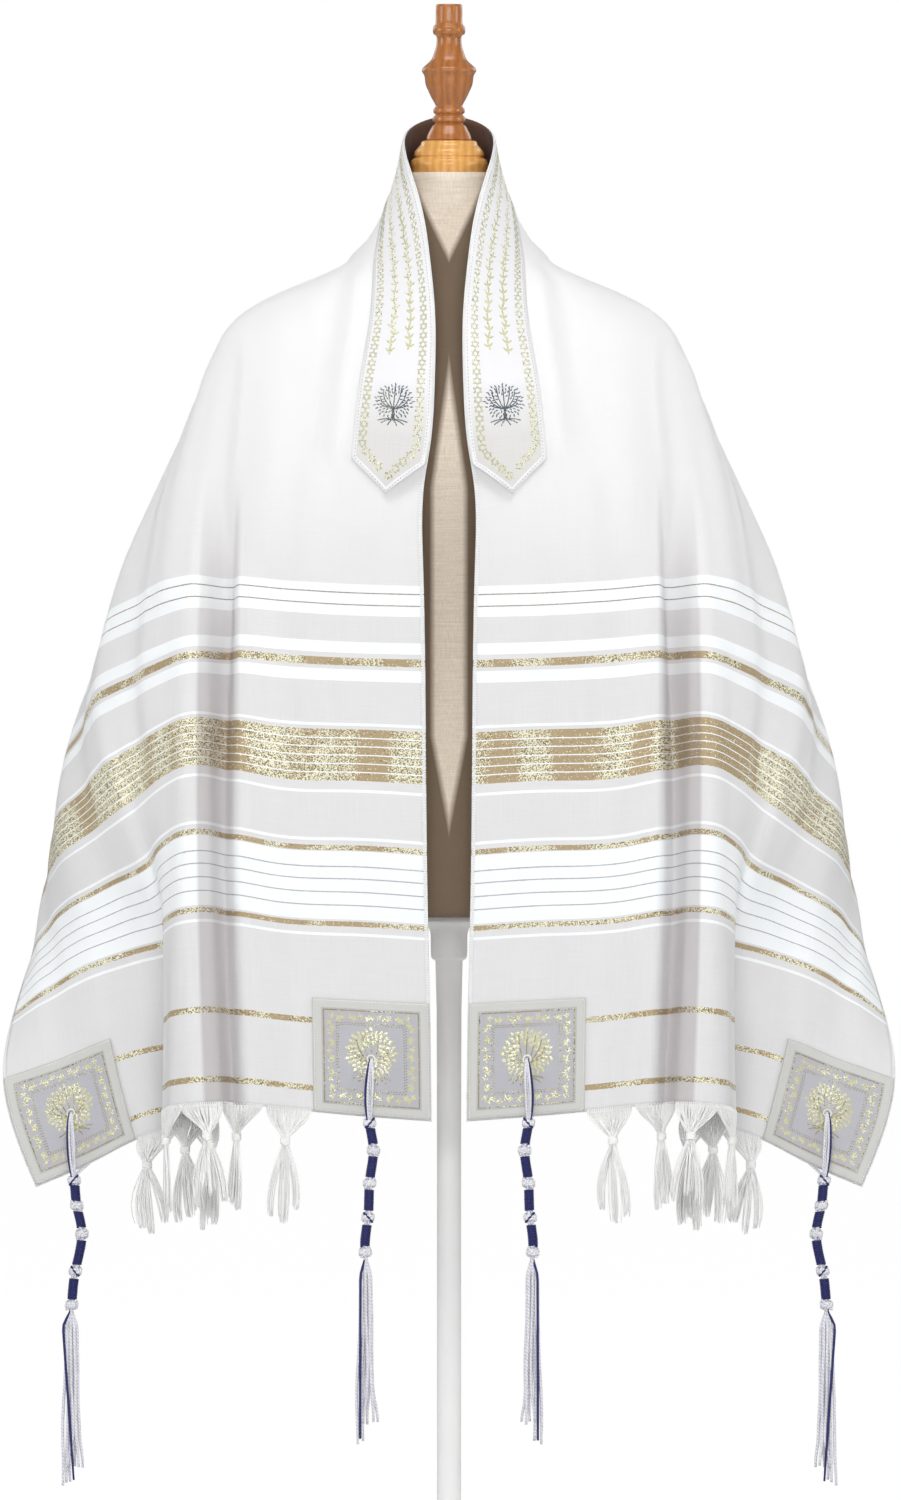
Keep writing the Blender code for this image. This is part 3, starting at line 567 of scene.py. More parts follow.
def stroke_mesh(name, strokes, widths, base, rise, material):
    """Raised threads on the cloth. strokes is (count, points, 2) of run and across, widths half widths
    of the same shape; each stroke is a ribbon of three columns, its middle raised above the base, which
    is a height or a function of run and across."""
    strokes = np.asarray(strokes, float)
    widths = np.broadcast_to(widths, strokes.shape[:2])
    along = np.gradient(strokes, axis=1)
    along /= np.linalg.norm(along, axis=2)[..., None] + 1e-12
    side = np.stack([-along[..., 1], along[..., 0]], axis=-1) * widths[..., None]
    side *= np.sign(strokes[:, :1, :1] + 1e-9)
    columns = np.stack([strokes - side, strokes, strokes + side], axis=2)
    if callable(base):
        base = base(columns[..., 0], columns[..., 1])
    height = np.broadcast_to(base + np.array((0.0, rise, 0.0)), columns.shape[:3])
    points = lifted_grid(columns[..., 0], columns[..., 1], height)
    faces = many_grids(len(strokes), strokes.shape[1], 3)
    flip = np.sign(strokes[:, 0, 0] + 1e-9) < 0
    faces = faces.reshape(len(strokes), -1, 4)
    faces[flip] = faces[flip][..., ::-1]
    uv = columns[..., ::-1]
    return make_piece(name, points, faces, material, uv)


def line_strokes(starts, ends, count=2):
    """Straight strokes from arrays of start and end points."""
    share = np.linspace(0.0, 1.0, count)[None, :, None]
    return starts[:, None, :] * (1.0 - share) + ends[:, None, :] * share


def tube_points(paths, radii, sides):
    """Tubes along paths of shape (count, steps, 3): rings of a given radius about the path, in the
    plane of two directions square to it. Returns points and quads with closed ends."""
    paths = np.asarray(paths, float)
    count, steps, _ = paths.shape
    radii = np.broadcast_to(radii, paths.shape[:2])
    along = np.gradient(paths, axis=1)
    along /= np.linalg.norm(along, axis=2)[..., None] + 1e-12
    first = np.cross(along, np.array((0.31, 0.87, 0.38)))
    first /= np.linalg.norm(first, axis=2)[..., None] + 1e-12
    second = np.cross(along, first)
    angle = np.arange(sides) * 2.0 * math.pi / sides
    ring = first[:, :, None] * np.cos(angle)[:, None] + second[:, :, None] * np.sin(angle)[:, None]
    body = paths[:, :, None] + ring * radii[:, :, None, None]
    caps = np.repeat(paths[:, [0, -1], None], sides, axis=2)
    rings = np.concatenate([caps[:, :1], body, caps[:, 1:]], axis=1)
    index = np.arange(count * (steps + 2) * sides).reshape(count, steps + 2, sides)
    turned = np.roll(index, -1, axis=2)
    faces = np.stack([index[:, :-1], turned[:, :-1], turned[:, 1:], index[:, 1:]], axis=-1)
    length = np.cumsum(np.linalg.norm(np.diff(rings, axis=1).mean(axis=2), axis=2), axis=1)
    length = np.concatenate([np.zeros((count, 1)), length], axis=1)
    around = np.broadcast_to(angle / (2.0 * math.pi), rings.shape[:3])
    uv = np.stack([around, np.broadcast_to(length[:, :, None], rings.shape[:3])], axis=-1)
    return rings, faces.reshape(-1, 4), uv


def make_tubes(name, bundles, material):
    """One mesh of several bundles of tubes, each (paths, radii, sides)."""
    points, faces, uvs, start = [], [], [], 0
    for paths, radii, sides in bundles:
        rings, quads, uv = tube_points(paths, radii, sides)
        points.append(rings.reshape(-1, 3))
        uvs.append(uv.reshape(-1, 2))
        faces.append(quads + start)
        start += len(points[-1])
    return make_piece(name, np.vstack(points), np.vstack(faces), material, np.vstack(uvs))


class Graph:
    """Short calls for building one node tree."""

    def __init__(self, tree):
        self.tree = tree

    def node(self, kind, inputs=(), **settings):
        """A node with values or links for its inputs, and its settings."""
        made = self.tree.nodes.new("ShaderNode" + kind)
        for key, value in settings.items():
            setattr(made, key, value)
        for key, value in dict(inputs).items():
            if isinstance(value, bpy.types.NodeSocket):
                self.tree.links.new(value, made.inputs[key])
            else:
                made.inputs[key].default_value = value
        return made

    def math(self, operation, first, second=0.0, third=0.0):
        """One sum on up to three values."""
        made = self.node("Math", {0: first, 1: second, 2: third}, operation=operation)
        return made.outputs[0]

    def mix(self, share, first, second):
        """The first colour where share is 0, the second where it is 1."""
        made = self.node("Mix", {0: share, 6: first, 7: second}, data_type="RGBA")
        return made.outputs[2]

    def spread(self, value, low, high, to_low=0.0, to_high=1.0):
        """A value between low and high, held there and carried to between to_low and to_high."""
        made = self.node("MapRange", {0: value, 1: low, 2: high, 3: to_low, 4: to_high})
        return made.outputs[0]

    def noise(self, vector, scale, detail=2.0, rough=0.5):
        """Soft random values about 0.5."""
        made = self.node(
            "TexNoise", {"Vector": vector, "Scale": scale, "Detail": detail, "Roughness": rough})
        return made.outputs[0]

    def stretched(self, vector, scale):
        """A place with its three measures multiplied by a scale."""
        made = self.node("Mapping", {"Vector": vector, "Scale": scale})
        return made.outputs[0]

    def bands(self, value, table):
        """1 where the value lies inside a (start, end) of the table, else 0."""
        total = 0.0
        for start, end in table:
            inside = self.math("COMPARE", value, (start + end) / 2.0, (end - start) / 2.0)
            total = self.math("MAXIMUM", total, inside)
        return total


def new_group(name, inputs, outputs):
    """An empty node group with named sockets; returns it with its graph and its two end nodes."""
    group = bpy.data.node_groups.new(name, "ShaderNodeTree")
    kinds = {"value": "NodeSocketFloat", "colour": "NodeSocketColor", "vector": "NodeSocketVector"}
    for label, kind, default in inputs:
        socket = group.interface.new_socket(label, in_out="INPUT", socket_type=kinds[kind])
        if default is not None:
            socket.default_value = default
    for label, kind in outputs:
        group.interface.new_socket(label, in_out="OUTPUT", socket_type=kinds[kind])
    start = group.nodes.new("NodeGroupInput")
    end = group.nodes.new("NodeGroupOutput")
    return group, Graph(group), start.outputs, end.inputs


def weave_group():
    """Plain weave: two square sets of threads. Puts out a height and a faint uneven tone."""
    group, graph, given, ends = new_group(
        "woven threads",
        (("Metres", "vector", None), ("Pitch", "value", 0.0006)),
        (("Height", "value"), ("Tone", "value")))
    parts = graph.node("SeparateXYZ", {0: given["Metres"]})
    turns = graph.math("DIVIDE", 2.0 * math.pi, given["Pitch"])
    weft = graph.math("SINE", graph.math("MULTIPLY", parts.outputs[0], turns))
    warp = graph.math("SINE", graph.math("MULTIPLY", parts.outputs[1], turns))
    height = graph.math("MULTIPLY", weft, warp)
    streaks = graph.noise(graph.stretched(given["Metres"], (900.0, 24.0, 1.0)), 1.0)
    slubs = graph.noise(graph.stretched(given["Metres"], (24.0, 900.0, 1.0)), 1.0)
    tone = graph.math("MULTIPLY", graph.math("ADD", streaks, slubs), 0.5)
    graph.tree.links.new(height, ends["Height"])
    graph.tree.links.new(tone, ends["Tone"])
    return group


def glitter_group():
    """Metal-coated yarn: small cells of many tones, denser in some stretches than in others."""
    group, graph, given, ends = new_group(
        "metal yarn glitter",
        (("Metres", "vector", None), ("Grain", "value", 0.0008), ("Cover", "value", 0.5),
         ("Dark", "colour", (0.17, 0.135, 0.065, 1.0)), ("Body", "colour", (0.46, 0.355, 0.205, 1.0)),
         ("Light", "colour", (0.88, 0.85, 0.64, 1.0))),
        (("Colour", "colour"), ("Sparkle", "value")))
    scale = graph.math("DIVIDE", 1.0, given["Grain"])
    cells = graph.node("TexVoronoi", {"Vector": given["Metres"], "Scale": scale})
    tone = graph.node("SeparateXYZ", {0: cells.outputs["Color"]}).outputs[0]
    patchy = graph.noise(graph.stretched(given["Metres"], (26.0, 5.0, 1.0)), 1.0, 1.0)
    cover = graph.spread(patchy, 0.42, 0.56, 0.06, 1.0)
    cover = graph.math("MULTIPLY", cover, given["Cover"])
    light = graph.math("GREATER_THAN", tone, graph.math("SUBTRACT", 1.0, cover))
    dark = graph.math("LESS_THAN", tone, graph.math("MULTIPLY", cover, 0.45))
    colour = graph.mix(light, given["Body"], given["Light"])
    colour = graph.mix(dark, colour, given["Dark"])
    graph.tree.links.new(colour, ends["Colour"])
    graph.tree.links.new(light, ends["Sparkle"])
    return group


def grain_group():
    """Turned wood: long fibres along Z with darker, wavy bands across them."""
    group, graph, given, ends = new_group(
        "turned wood grain",
        (("Place", "vector", None), ("Light", "colour", (0.7, 0.4, 0.15, 1.0)),
         ("Dark", "colour", (0.4, 0.2, 0.06, 1.0))),
        (("Colour", "colour"), ("Height", "value")))
    wavy = graph.node("TexWave", {
        "Vector": graph.stretched(given["Place"], (1.0, 1.0, 0.12)), "Scale": 42.0,
        "Distortion": 5.0, "Detail": 3.0, "Detail Scale": 1.6}, wave_type="BANDS")
    fibres = graph.noise(graph.stretched(given["Place"], (900.0, 900.0, 30.0)), 1.0, 3.0)
    share = graph.math("ADD", graph.math("MULTIPLY", wavy.outputs[1], 0.55),
                       graph.math("MULTIPLY", fibres, 0.45))
    graph.tree.links.new(graph.mix(share, given["Dark"], given["Light"]), ends["Colour"])
    graph.tree.links.new(fibres, ends["Height"])
    return group


def new_material(name):
    """A material with its graph and its surface shader."""
    material = bpy.data.materials.new(name)
    material.use_nodes = True
    graph = Graph(material.node_tree)
    return material, graph, material.node_tree.nodes["Principled BSDF"]


def finish_material(graph, shader, height=None, strength=0.3, distance=0.0004, **values):
    """Set or link the shader's sockets by name (underscores for spaces), and link a bump."""
    for key, value in values.items():
        socket = shader.inputs[key.replace("_", " ")]
        if isinstance(value, bpy.types.NodeSocket):
            graph.tree.links.new(value, socket)
        else:
            socket.default_value = value
    if height is not None:
        bump = graph.node("Bump", {"Height": height, "Strength": strength, "Distance": distance})
        graph.tree.links.new(bump.outputs[0], shader.inputs["Normal"])


def cloth_material(weave, glitter):
    """Sheer white-grey weave with bright white and metal-yarn bands that follow run and across. Painted
    shade darkens the deep fold and paints the inner side of the standing collar dark brown."""
    material, graph, shader = new_material("striped wool-look weave")
    metres = graph.node("UVMap", uv_map="metres").outputs[0]
    parts = graph.node("SeparateXYZ", {0: metres})
    run = graph.math("ABSOLUTE", parts.outputs[1])
    waver = graph.noise(graph.stretched(metres, (650.0, 650.0, 1.0)), 1.0)
    run = graph.math("MULTIPLY_ADD", waver, 0.0007, graph.math("SUBTRACT", run, 0.00035))
    from_hem = graph.math("SUBTRACT", HALF_RUN, run)
    white = graph.bands(from_hem, WHITE_BANDS)
    gold = graph.bands(from_hem, GOLD_BANDS)
    line = graph.bands(from_hem, LINE_BANDS)
    threads = graph.node("Group", {"Metres": metres, "Pitch": 0.00065}, node_tree=weave)
    # Painted light and shade: the ground is painted paler near the neck, where light from above falls,
    # and greyer down the run towards the hems.
    ground = graph.mix(
        graph.spread(run, 0.26, 0.60), (0.93, 0.93, 0.93, 1.0), (0.745, 0.74, 0.75, 1.0))
    ground = graph.mix(
        graph.spread(threads.outputs["Tone"], 0.35, 0.65, 0.0, 0.16), ground, (0.96, 0.95, 0.96, 1.0))
    metal = graph.node("Group", {"Metres": metres, "Grain": 0.0008, "Cover": 0.60}, node_tree=glitter)
    colour = graph.mix(gold, ground, metal.outputs["Colour"])
    colour = graph.mix(white, colour, (0.95, 0.975, 0.99, 1.0))
    colour = graph.mix(line, colour, graph.mix(
        graph.math("GREATER_THAN", from_hem, 0.4), (0.40, 0.41, 0.43, 1.0), (0.26, 0.22, 0.16, 1.0)))
    across = parts.outputs[0]
    # Painted shade: a strip along the deep fold is painted darker, growing along the run.
    painted_fold_shade = graph.math(
        "MULTIPLY", graph.spread(across, *FOLD_NEAR), graph.spread(across, *FOLD_FAR))
    painted_fold_shade = graph.math("MULTIPLY", painted_fold_shade, graph.spread(run, *FOLD_RUN, 0.0, FOLD_SHADE_SHARE))
    colour = graph.mix(painted_fold_shade, colour, (0.21, 0.15, 0.15, 1.0))
    # Painted shade: the inner faces inside the standing collar are painted dark brown between two
    # heights.
    place = graph.node("TexCoord")
    flat = graph.node(
        "VectorMath", {0: place.outputs["Object"], 1: (1.0, 1.0, 0.0)}, operation="MULTIPLY")
    facing = graph.node(
        "VectorMath", {0: flat.outputs[0], 1: place.outputs["Normal"]}, operation="DOT_PRODUCT")
    inner = graph.math("LESS_THAN", facing.outputs["Value"], 0.0)
    high = graph.node("SeparateXYZ", {0: place.outputs["Object"]}).outputs[2]
    inner = graph.math("MULTIPLY", inner, graph.spread(high, *COLLAR_PAINTED_SHADE))
    colour = graph.mix(graph.math("MULTIPLY", inner, 0.98), colour, (0.125, 0.050, 0.024, 1.0))
    rough = graph.spread(white, 0.0, 1.0, 0.62, 0.34)
    rough = graph.mix(gold, rough, (0.42, 0.42, 0.42, 1.0))
    height = graph.math("MULTIPLY_ADD", white, 0.7, threads.outputs["Height"])
    height = graph.math("MULTIPLY_ADD", gold, 0.9, height)
    finish_material(
        graph, shader, height, 0.35, 0.0002, Base_Color=colour, Roughness=rough,
        Metallic=graph.math("MULTIPLY", gold, 0.35), Sheen_Weight=0.18, Sheen_Roughness=0.4)
    return material


def satin_material(name, weave, ground, low_ground, border, edge_mask):
    """Silvery satin with a paler border, where edge_mask(graph, metres) gives 1. The ground changes to
    low_ground between 0.36 and 0.42 m along the run."""
    material, graph, shader = new_material(name)
    metres = graph.node("UVMap", uv_map="metres").outputs[0]
    threads = graph.node("Group", {"Metres": metres, "Pitch": 0.0011}, node_tree=weave)
    speck = graph.noise(graph.stretched(metres, (1500.0, 1500.0, 1.0)), 1.0, 1.0)
    run = graph.math("ABSOLUTE", graph.node("SeparateXYZ", {0: metres}).outputs[1])
    ground = graph.mix(graph.spread(run, 0.36, 0.42), ground, low_ground)
    shade = graph.mix(0.18, ground, (0.30, 0.30, 0.38, 1.0))
    colour = graph.mix(graph.spread(speck, 0.35, 0.65, 0.0, 0.8), ground, shade)
    colour = graph.mix(graph.spread(threads.outputs["Tone"], 0.3, 0.7, 0.0, 0.25), colour, border)
    colour = graph.mix(edge_mask(graph, metres), colour, border)
    rough = graph.spread(speck, 0.3, 0.7, 0.36, 0.52)
    finish_material(
        graph, shader, threads.outputs["Height"], 0.4, 0.0002, Base_Color=colour, Roughness=rough,
        Sheen_Weight=0.25)
    return material


def band_border(graph, metres):
    """1 within 4.5 mm of the neckband's long edges or of its point."""
    parts = graph.node("SeparateXYZ", {0: metres})
    across = parts.outputs[0]
    run = graph.math("ABSOLUTE", parts.outputs[1])
    middle = (EDGE_MARGIN + BAND_WIDTH) / 2.0
    half = (BAND_WIDTH - EDGE_MARGIN) / 2.0
    aside = graph.math("ABSOLUTE", graph.math("SUBTRACT", across, middle))
    to_side = graph.math("SUBTRACT", half, aside)
    slope = (BAND_TIP - BAND_CORNER) / half
    limit = graph.math("MULTIPLY_ADD", aside, -slope, BAND_TIP)
    to_point = graph.math("MULTIPLY", graph.math("SUBTRACT", limit, run), 0.775)
    return graph.math("LESS_THAN", graph.math("MINIMUM", to_side, to_point), 0.0045)


def patch_border(graph, metres):
    """1 within 8 mm of the edges of a corner patch, at either side of the cloth."""
    parts = graph.node("SeparateXYZ", {0: metres})
    run = graph.math("ABSOLUTE", parts.outputs[1])
    from_side = graph.math("MINIMUM", parts.outputs[0], graph.math("SUBTRACT", WIDTH, parts.outputs[0]))
    to_middle = (
        graph.math("ABSOLUTE", graph.math("SUBTRACT", from_side, EDGE_MARGIN + PATCH_SIDE / 2.0)),
        graph.math("ABSOLUTE", graph.math("SUBTRACT", run, HALF_RUN - EDGE_MARGIN - PATCH_SIDE / 2.0)),
    )
    return graph.math("GREATER_THAN", graph.math("MAXIMUM", *to_middle), PATCH_SIDE / 2.0 - 0.0085)


def metal_thread_material(name, glitter, dark, body, light, cover):
    """Metal-coated thread in three tones; cover is the share of cells that sparkle."""
    material, graph, shader = new_material(name)
    metres = graph.node("UVMap", uv_map="metres").outputs[0]
    metal = graph.node("Group", {
        "Metres": metres, "Grain": 0.0007, "Cover": cover, "Dark": dark, "Body": body, "Light": light,
    }, node_tree=glitter)
    rough = graph.spread(metal.outputs["Sparkle"], 0.0, 1.0, 0.5, 0.3)
    finish_material(
        graph, shader, metal.outputs["Sparkle"], 0.3, 0.0002, Base_Color=metal.outputs["Colour"],
        Roughness=rough, Metallic=0.35)
    return material


def thread_material(name, colour, shade, twist, rough, sheen=0.3):
    """Twisted yarn: slanted plies round and along each thread."""
    material, graph, shader = new_material(name)
    metres = graph.node("UVMap", uv_map="metres").outputs[0]
    parts = graph.node("SeparateXYZ", {0: metres})
    along = graph.math("MULTIPLY", parts.outputs[1], twist)
    ply = graph.math("SINE", graph.math("MULTIPLY_ADD", parts.outputs[0], 4.0 * math.pi, along))
    place = graph.node("TexCoord").outputs["Object"]
    fuzz = graph.noise(graph.stretched(place, (900.0, 900.0, 160.0)), 1.0, 3.0)
    tone = graph.math("MULTIPLY_ADD", ply, 0.22, fuzz)
    colour = graph.mix(graph.spread(tone, 0.15, 0.75), shade, colour)
    finish_material(
        graph, shader, tone, 0.5, 0.0004, Base_Color=colour,
        Roughness=graph.spread(fuzz, 0.3, 0.7, rough - 0.08, rough + 0.08), Sheen_Weight=sheen)
    return material


def jersey_material():
    """Beige knitted cover: fine ribs with a few thicker rows. The strip that shows between the fronts
    is painted with brown shadow but for a pale V at the throat and a long pale lozenge below the seam."""
    material, graph, shader = new_material("beige jersey")
    place = graph.node("TexCoord").outputs["Object"]
    ribs = graph.noise(graph.stretched(place, (1400.0, 1400.0, 90.0)), 1.0)
    rows = graph.noise(graph.stretched(place, (40.0, 40.0, 1300.0)), 1.0)
    broad = graph.noise(place, 9.0)
    tone = graph.math("MULTIPLY", graph.math("ADD", ribs, rows), 0.5)
    colour = graph.mix(
        graph.spread(tone, 0.38, 0.62), (0.73, 0.61, 0.48, 1.0), (0.88, 0.78, 0.665, 1.0))
    colour = graph.mix(graph.spread(broad, 0.3, 0.7, 0.0, 0.2), colour, (0.86, 0.78, 0.68, 1.0))
    parts = graph.node("SeparateXYZ", {0: place}).outputs
    # Painted shadow: the jersey's front is painted dark brown outside the pale zones, fading out
    # further aside, under the cloth.
    aside = graph.math("ABSOLUTE", parts[0])
    under_seam = graph.math("LESS_THAN", parts[2], SEAM_UP)
    throat = graph.math("MULTIPLY_ADD", parts[2], THROAT_SLOPE, -THROAT_SLOPE * THROAT_TIP)
    opening = graph.math("MULTIPLY_ADD", parts[2], -OPENING_SLOPE, OPENING_SLOPE * OPENING_TIP)
    closing = graph.math("MULTIPLY_ADD", parts[2], CLOSING_SLOPE, -CLOSING_SLOPE * CLOSING_TIP)
    closing = graph.math("MINIMUM", PALE_HALF, closing)
    pale = graph.mix(under_seam, throat, graph.math("MINIMUM", opening, closing))
    brown = graph.spread(graph.math("SUBTRACT", aside, pale), -0.0025, 0.0035)
    brown = graph.math("MULTIPLY", brown, graph.spread(aside, *PAINTED_SHADOW_FADE, 0.92, 0.0))
    brown = graph.math("MULTIPLY", brown, graph.math("LESS_THAN", parts[1], 0.0))
    colour = graph.mix(brown, colour, (0.13, 0.080, 0.040, 1.0))
    finish_material(
        graph, shader, tone, 0.5, 0.0006, Base_Color=colour,
        Roughness=graph.spread(tone, 0.3, 0.7, 0.78, 0.92), Sheen_Weight=0.1)
    return material


def wood_material(name, grain, light, dark, rough):
    """Varnished turned wood in two tones."""
    material, graph, shader = new_material(name)
    place = graph.node("TexCoord").outputs["Object"]
    wood = graph.node("Group", {"Place": place, "Light": light, "Dark": dark}, node_tree=grain)
    finish_material(
        graph, shader, wood.outputs["Height"], 0.12, 0.0004, Base_Color=wood.outputs["Colour"],
        Roughness=graph.spread(wood.outputs["Height"], 0.3, 0.7, rough, rough + 0.12),
        Coat_Weight=0.3, Coat_Roughness=0.25)
    return material


def steel_material():
    """White powder coat with a fine orange-peel grain."""
    material, graph, shader = new_material("white powder coat")
    place = graph.node("TexCoord").outputs["Object"]
    peel = graph.noise(place, 420.0)
    colour = graph.mix(graph.noise(place, 14.0), (0.83, 0.83, 0.83, 1.0), (0.90, 0.90, 0.89, 1.0))
    finish_material(
        graph, shader, peel, 0.15, 0.0005, Base_Color=colour,
        Roughness=graph.spread(peel, 0.3, 0.7, 0.30, 0.42))
    return material


def make_cloth(materials):
    """The whole sheet: even rows, closer on the fronts, and columns that are closer over the ridge."""
    half = np.concatenate([
        np.linspace(0.0, BACK_END, BACK_ROWS), np.linspace(BACK_END, HALF_RUN, FRONT_ROWS)[1:]])
    rows = np.concatenate([-half[:0:-1], half])
    columns = np.concatenate([[0.0]] + [
        np.linspace(start, end, count)[1:]
        for start, end, count in zip(COLUMN_ENDS, COLUMN_ENDS[1:], COLUMN_COUNTS)])
    runs, acrosses = np.meshgrid(rows, columns, indexing="ij")
    piece = make_sheet("shawl_sheet", runs, acrosses, 0.0, WALL * 0.8, materials["cloth"])
    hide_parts("shawl_back", "shawl_front_left", "shawl_front_right")
    return piece


def band_end(across):
    """Run at the neckband's pointed end: the tip at mid width, falling straight to both corners."""
    middle = (EDGE_MARGIN + BAND_WIDTH) / 2.0
    share = 1.0 - np.abs(across - middle) / (middle - EDGE_MARGIN)
    return BAND_CORNER + (BAND_TIP - BAND_CORNER) * share


def make_band(materials):
    """Even rows to a little before the corners, and from there rows that bend to the point."""
    straight = 0.36
    over = np.linspace(EDGE_MARGIN, BAND_WIDTH, 17)
    rows = np.linspace(0.0, straight, 80)
    share = np.linspace(0.0, 1.0, 25)[1:]
    half = np.broadcast_to(rows[:, None], (len(rows), len(over)))
    end = straight + share[:, None] * (band_end(over) - straight)[None, :]
    half = np.vstack([half, end])
    runs = np.vstack([-half[:0:-1], half])
    acrosses = np.broadcast_to(over, runs.shape)
    height = band_face(runs, acrosses) - SATIN_WALL / 2.0
    piece = make_sheet("neckband_satin", runs, acrosses, height, SATIN_WALL, materials["band"])
    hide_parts("neckband")
    return piece


def band_face(run, across):
    """Height of the neckband's face above the cloth's middle. It stands off towards its pointed end,
    and more so along the slanted edge by the neck, which curls up."""
    middle = (EDGE_MARGIN + BAND_WIDTH) / 2.0
    lift = BAND_END_LIFT * smooth_rise((np.abs(run) - BAND_CORNER + 0.03) / 0.05)
    to_end = band_end(across) - np.abs(run)
    curl = smooth_rise(1.0 - to_end / 0.016) * smooth_rise((middle + 0.006 - across) / 0.018)
    return SATIN_TOP + lift + BAND_CURL * curl


def chain_places(path, pitch):
    """Evenly spaced places along a polyline of (run, across) corners."""
    path = np.array(path)
    lengths = np.concatenate([[0.0], np.cumsum(np.linalg.norm(np.diff(path, axis=0), axis=1))])
    where = np.arange(pitch / 2.0, lengths[-1], pitch)
    return np.stack([np.interp(where, lengths, axis) for axis in path.T], axis=-1)


def star_strokes(centres, size):
    """Two crossed triangles at each centre, as six straight strokes."""
    turn = math.pi / 2.0 + np.arange(3) * 2.0 * math.pi / 3.0
    triangle = np.stack([np.sin(turn), np.cos(turn)], axis=-1)
    corners = np.stack([triangle, -triangle])
    starts = centres[:, None, None] + corners[None] * size
    ends = centres[:, None, None] + np.roll(corners, 1, axis=1)[None] * size
    return line_strokes(starts.reshape(-1, 2), ends.reshape(-1, 2))


def leaf_strokes(centres, turns, length, count=4):
    """Leaves: strokes of a given length from each centre, at an angle to the way up."""
    tips = centres + length * np.stack([-np.cos(turns), np.sin(turns)], axis=-1)
    return line_strokes(centres, tips, count)


LEAF_TAPER = np.array((0.25, 1.0, 0.85, 0.1))


def both_sides(strokes):
    """The strokes and their mirror image on the other half of the cloth."""
    mirror = strokes * np.array((-1.0, 1.0))
    return np.concatenate([strokes, mirror])


def tree_parts(run, across, size, leaf):
    """A plain ornamental tree: a trunk that parts into bowed branches, a round crown whose leaves sit
    on a sunflower spiral (radius by the square root of the count, turn by the golden angle), and
    roots. The way up is towards a smaller run. Returns strokes of wood and of leaves."""
    centre = np.array((run, across))
    wood = []

    def bowed(start, end, bow):
        """A stroke from start to end, its middle moved by bow."""
        share = np.linspace(0.0, 1.0, 4)[:, None]
        middle = np.sin(share * math.pi) * np.array(bow)
        wood.append(np.array(start) * (1.0 - share) + np.array(end) * share + middle)

    for shift in (-0.03, -0.01, 0.01, 0.03):
        bowed((0.02, 1.6 * shift), (-0.34, 0.6 * shift), (0.0, -0.5 * shift))
    for degrees, reach in ((-100, 0.36), (-70, 0.42), (-45, 0.46), (-22, 0.50), (0, 0.52),
                           (22, 0.50), (45, 0.46), (70, 0.42), (100, 0.36)):
        angle = math.radians(degrees)
        tip = (-0.48 - reach * math.cos(angle), reach * math.sin(angle))
        bowed((-0.30, 0.0), tip, (0.07 * math.cos(angle), 0.09 * math.sin(angle)))
    for degrees in (-80, -50, -18, 18, 50, 80):
        angle = math.radians(degrees)
        bowed((0.0, 0.0), (0.03 + 0.16 * math.cos(angle), 0.42 * math.sin(angle)), (-0.03, 0.0))
    count = np.arange(8, 96)
    turn = count * math.radians(137.5)
    reach = 0.50 * np.sqrt(count / 96.0)
    crown = np.stack([-0.52 - reach * np.cos(turn), reach * np.sin(turn)], axis=-1)
    leaves = leaf_strokes(crown * size + centre, turn + 0.5 * np.sin(count), size * leaf)
    return np.array(wood) * size + centre, leaves


def sprig_strokes(centres, ways, length):
    """Two leaves at either side of a short stem, at each centre, along a way given as an angle."""
    parts = [leaf_strokes(centres, ways + lean, length) for lean in (-0.85, 0.85)]
    parts.append(leaf_strokes(centres, ways, length * 1.25))
    parts.append(leaf_strokes(centres, ways + math.pi, length * 0.45))
    return np.concatenate(parts)


def make_band_ornament(materials):
    """Star chains along the edges and round the point, leaf sprigs up the middle, and a tree."""
    middle = (EDGE_MARGIN + BAND_WIDTH) / 2.0
    inner, outer = (
        chain_places(((0.0, across), (CHAIN_END, across), (CHAIN_TIP, middle)), STAR_PITCH)
        for across in (CHAIN_INNER, CHAIN_OUTER))

    def base(run, across):
        """The neckband's face, a little sunk in."""
        return band_face(run, across) - 0.0001

    stars = both_sides(star_strokes(np.vstack([inner, outer[:-1]]), STAR_SIZE))
    pieces = [stroke_mesh(
        "neckband_stars", stars, STAR_LINE, base, 0.0005, materials["pale gold"])]
    leaves = []
    for column, across in enumerate(SPRIG_ACROSS):
        run = np.arange(0.004 + 0.004 * column, SPRIG_END, SPRIG_PITCH)
        centres = np.stack([run, across + 0.0012 * np.sin(run * 230.0 + 2.0 * column)], axis=-1)
        leaves.append(sprig_strokes(centres, 0.25 * np.sin(run * 400.0), 0.0072))
    sprigs = both_sides(np.concatenate(leaves))
    pieces.append(stroke_mesh(
        "neckband_sprigs", sprigs, LEAF_TAPER * 0.0015, base, 0.0004,
        materials["bright gold"]))
    wood, leaves = tree_parts(BAND_TREE_RUN + 0.010, middle, 0.035, 0.10)
    pieces.append(stroke_mesh(
        "neckband_tree", both_sides(wood), 0.00065, base, 0.0006, materials["dark thread"]))
    pieces.append(stroke_mesh(
        "neckband_tree_leaves", both_sides(leaves), LEAF_TAPER * 0.0008, base, 0.0006,
        materials["dark thread"]))
    return pieces


def make_stitches(name, path, pitch, length, half_width, base, material):
    """A row of straight stitches along a polyline of (run, across), on both halves of the cloth."""
    centres = chain_places(path, pitch)
    ahead = np.gradient(centres, axis=0)
    ahead /= np.linalg.norm(ahead, axis=1)[:, None]
    strokes = line_strokes(centres - ahead * length / 2.0, centres + ahead * length / 2.0, 2)
    return stroke_mesh(name, both_sides(strokes), half_width, base, 0.0004, material)


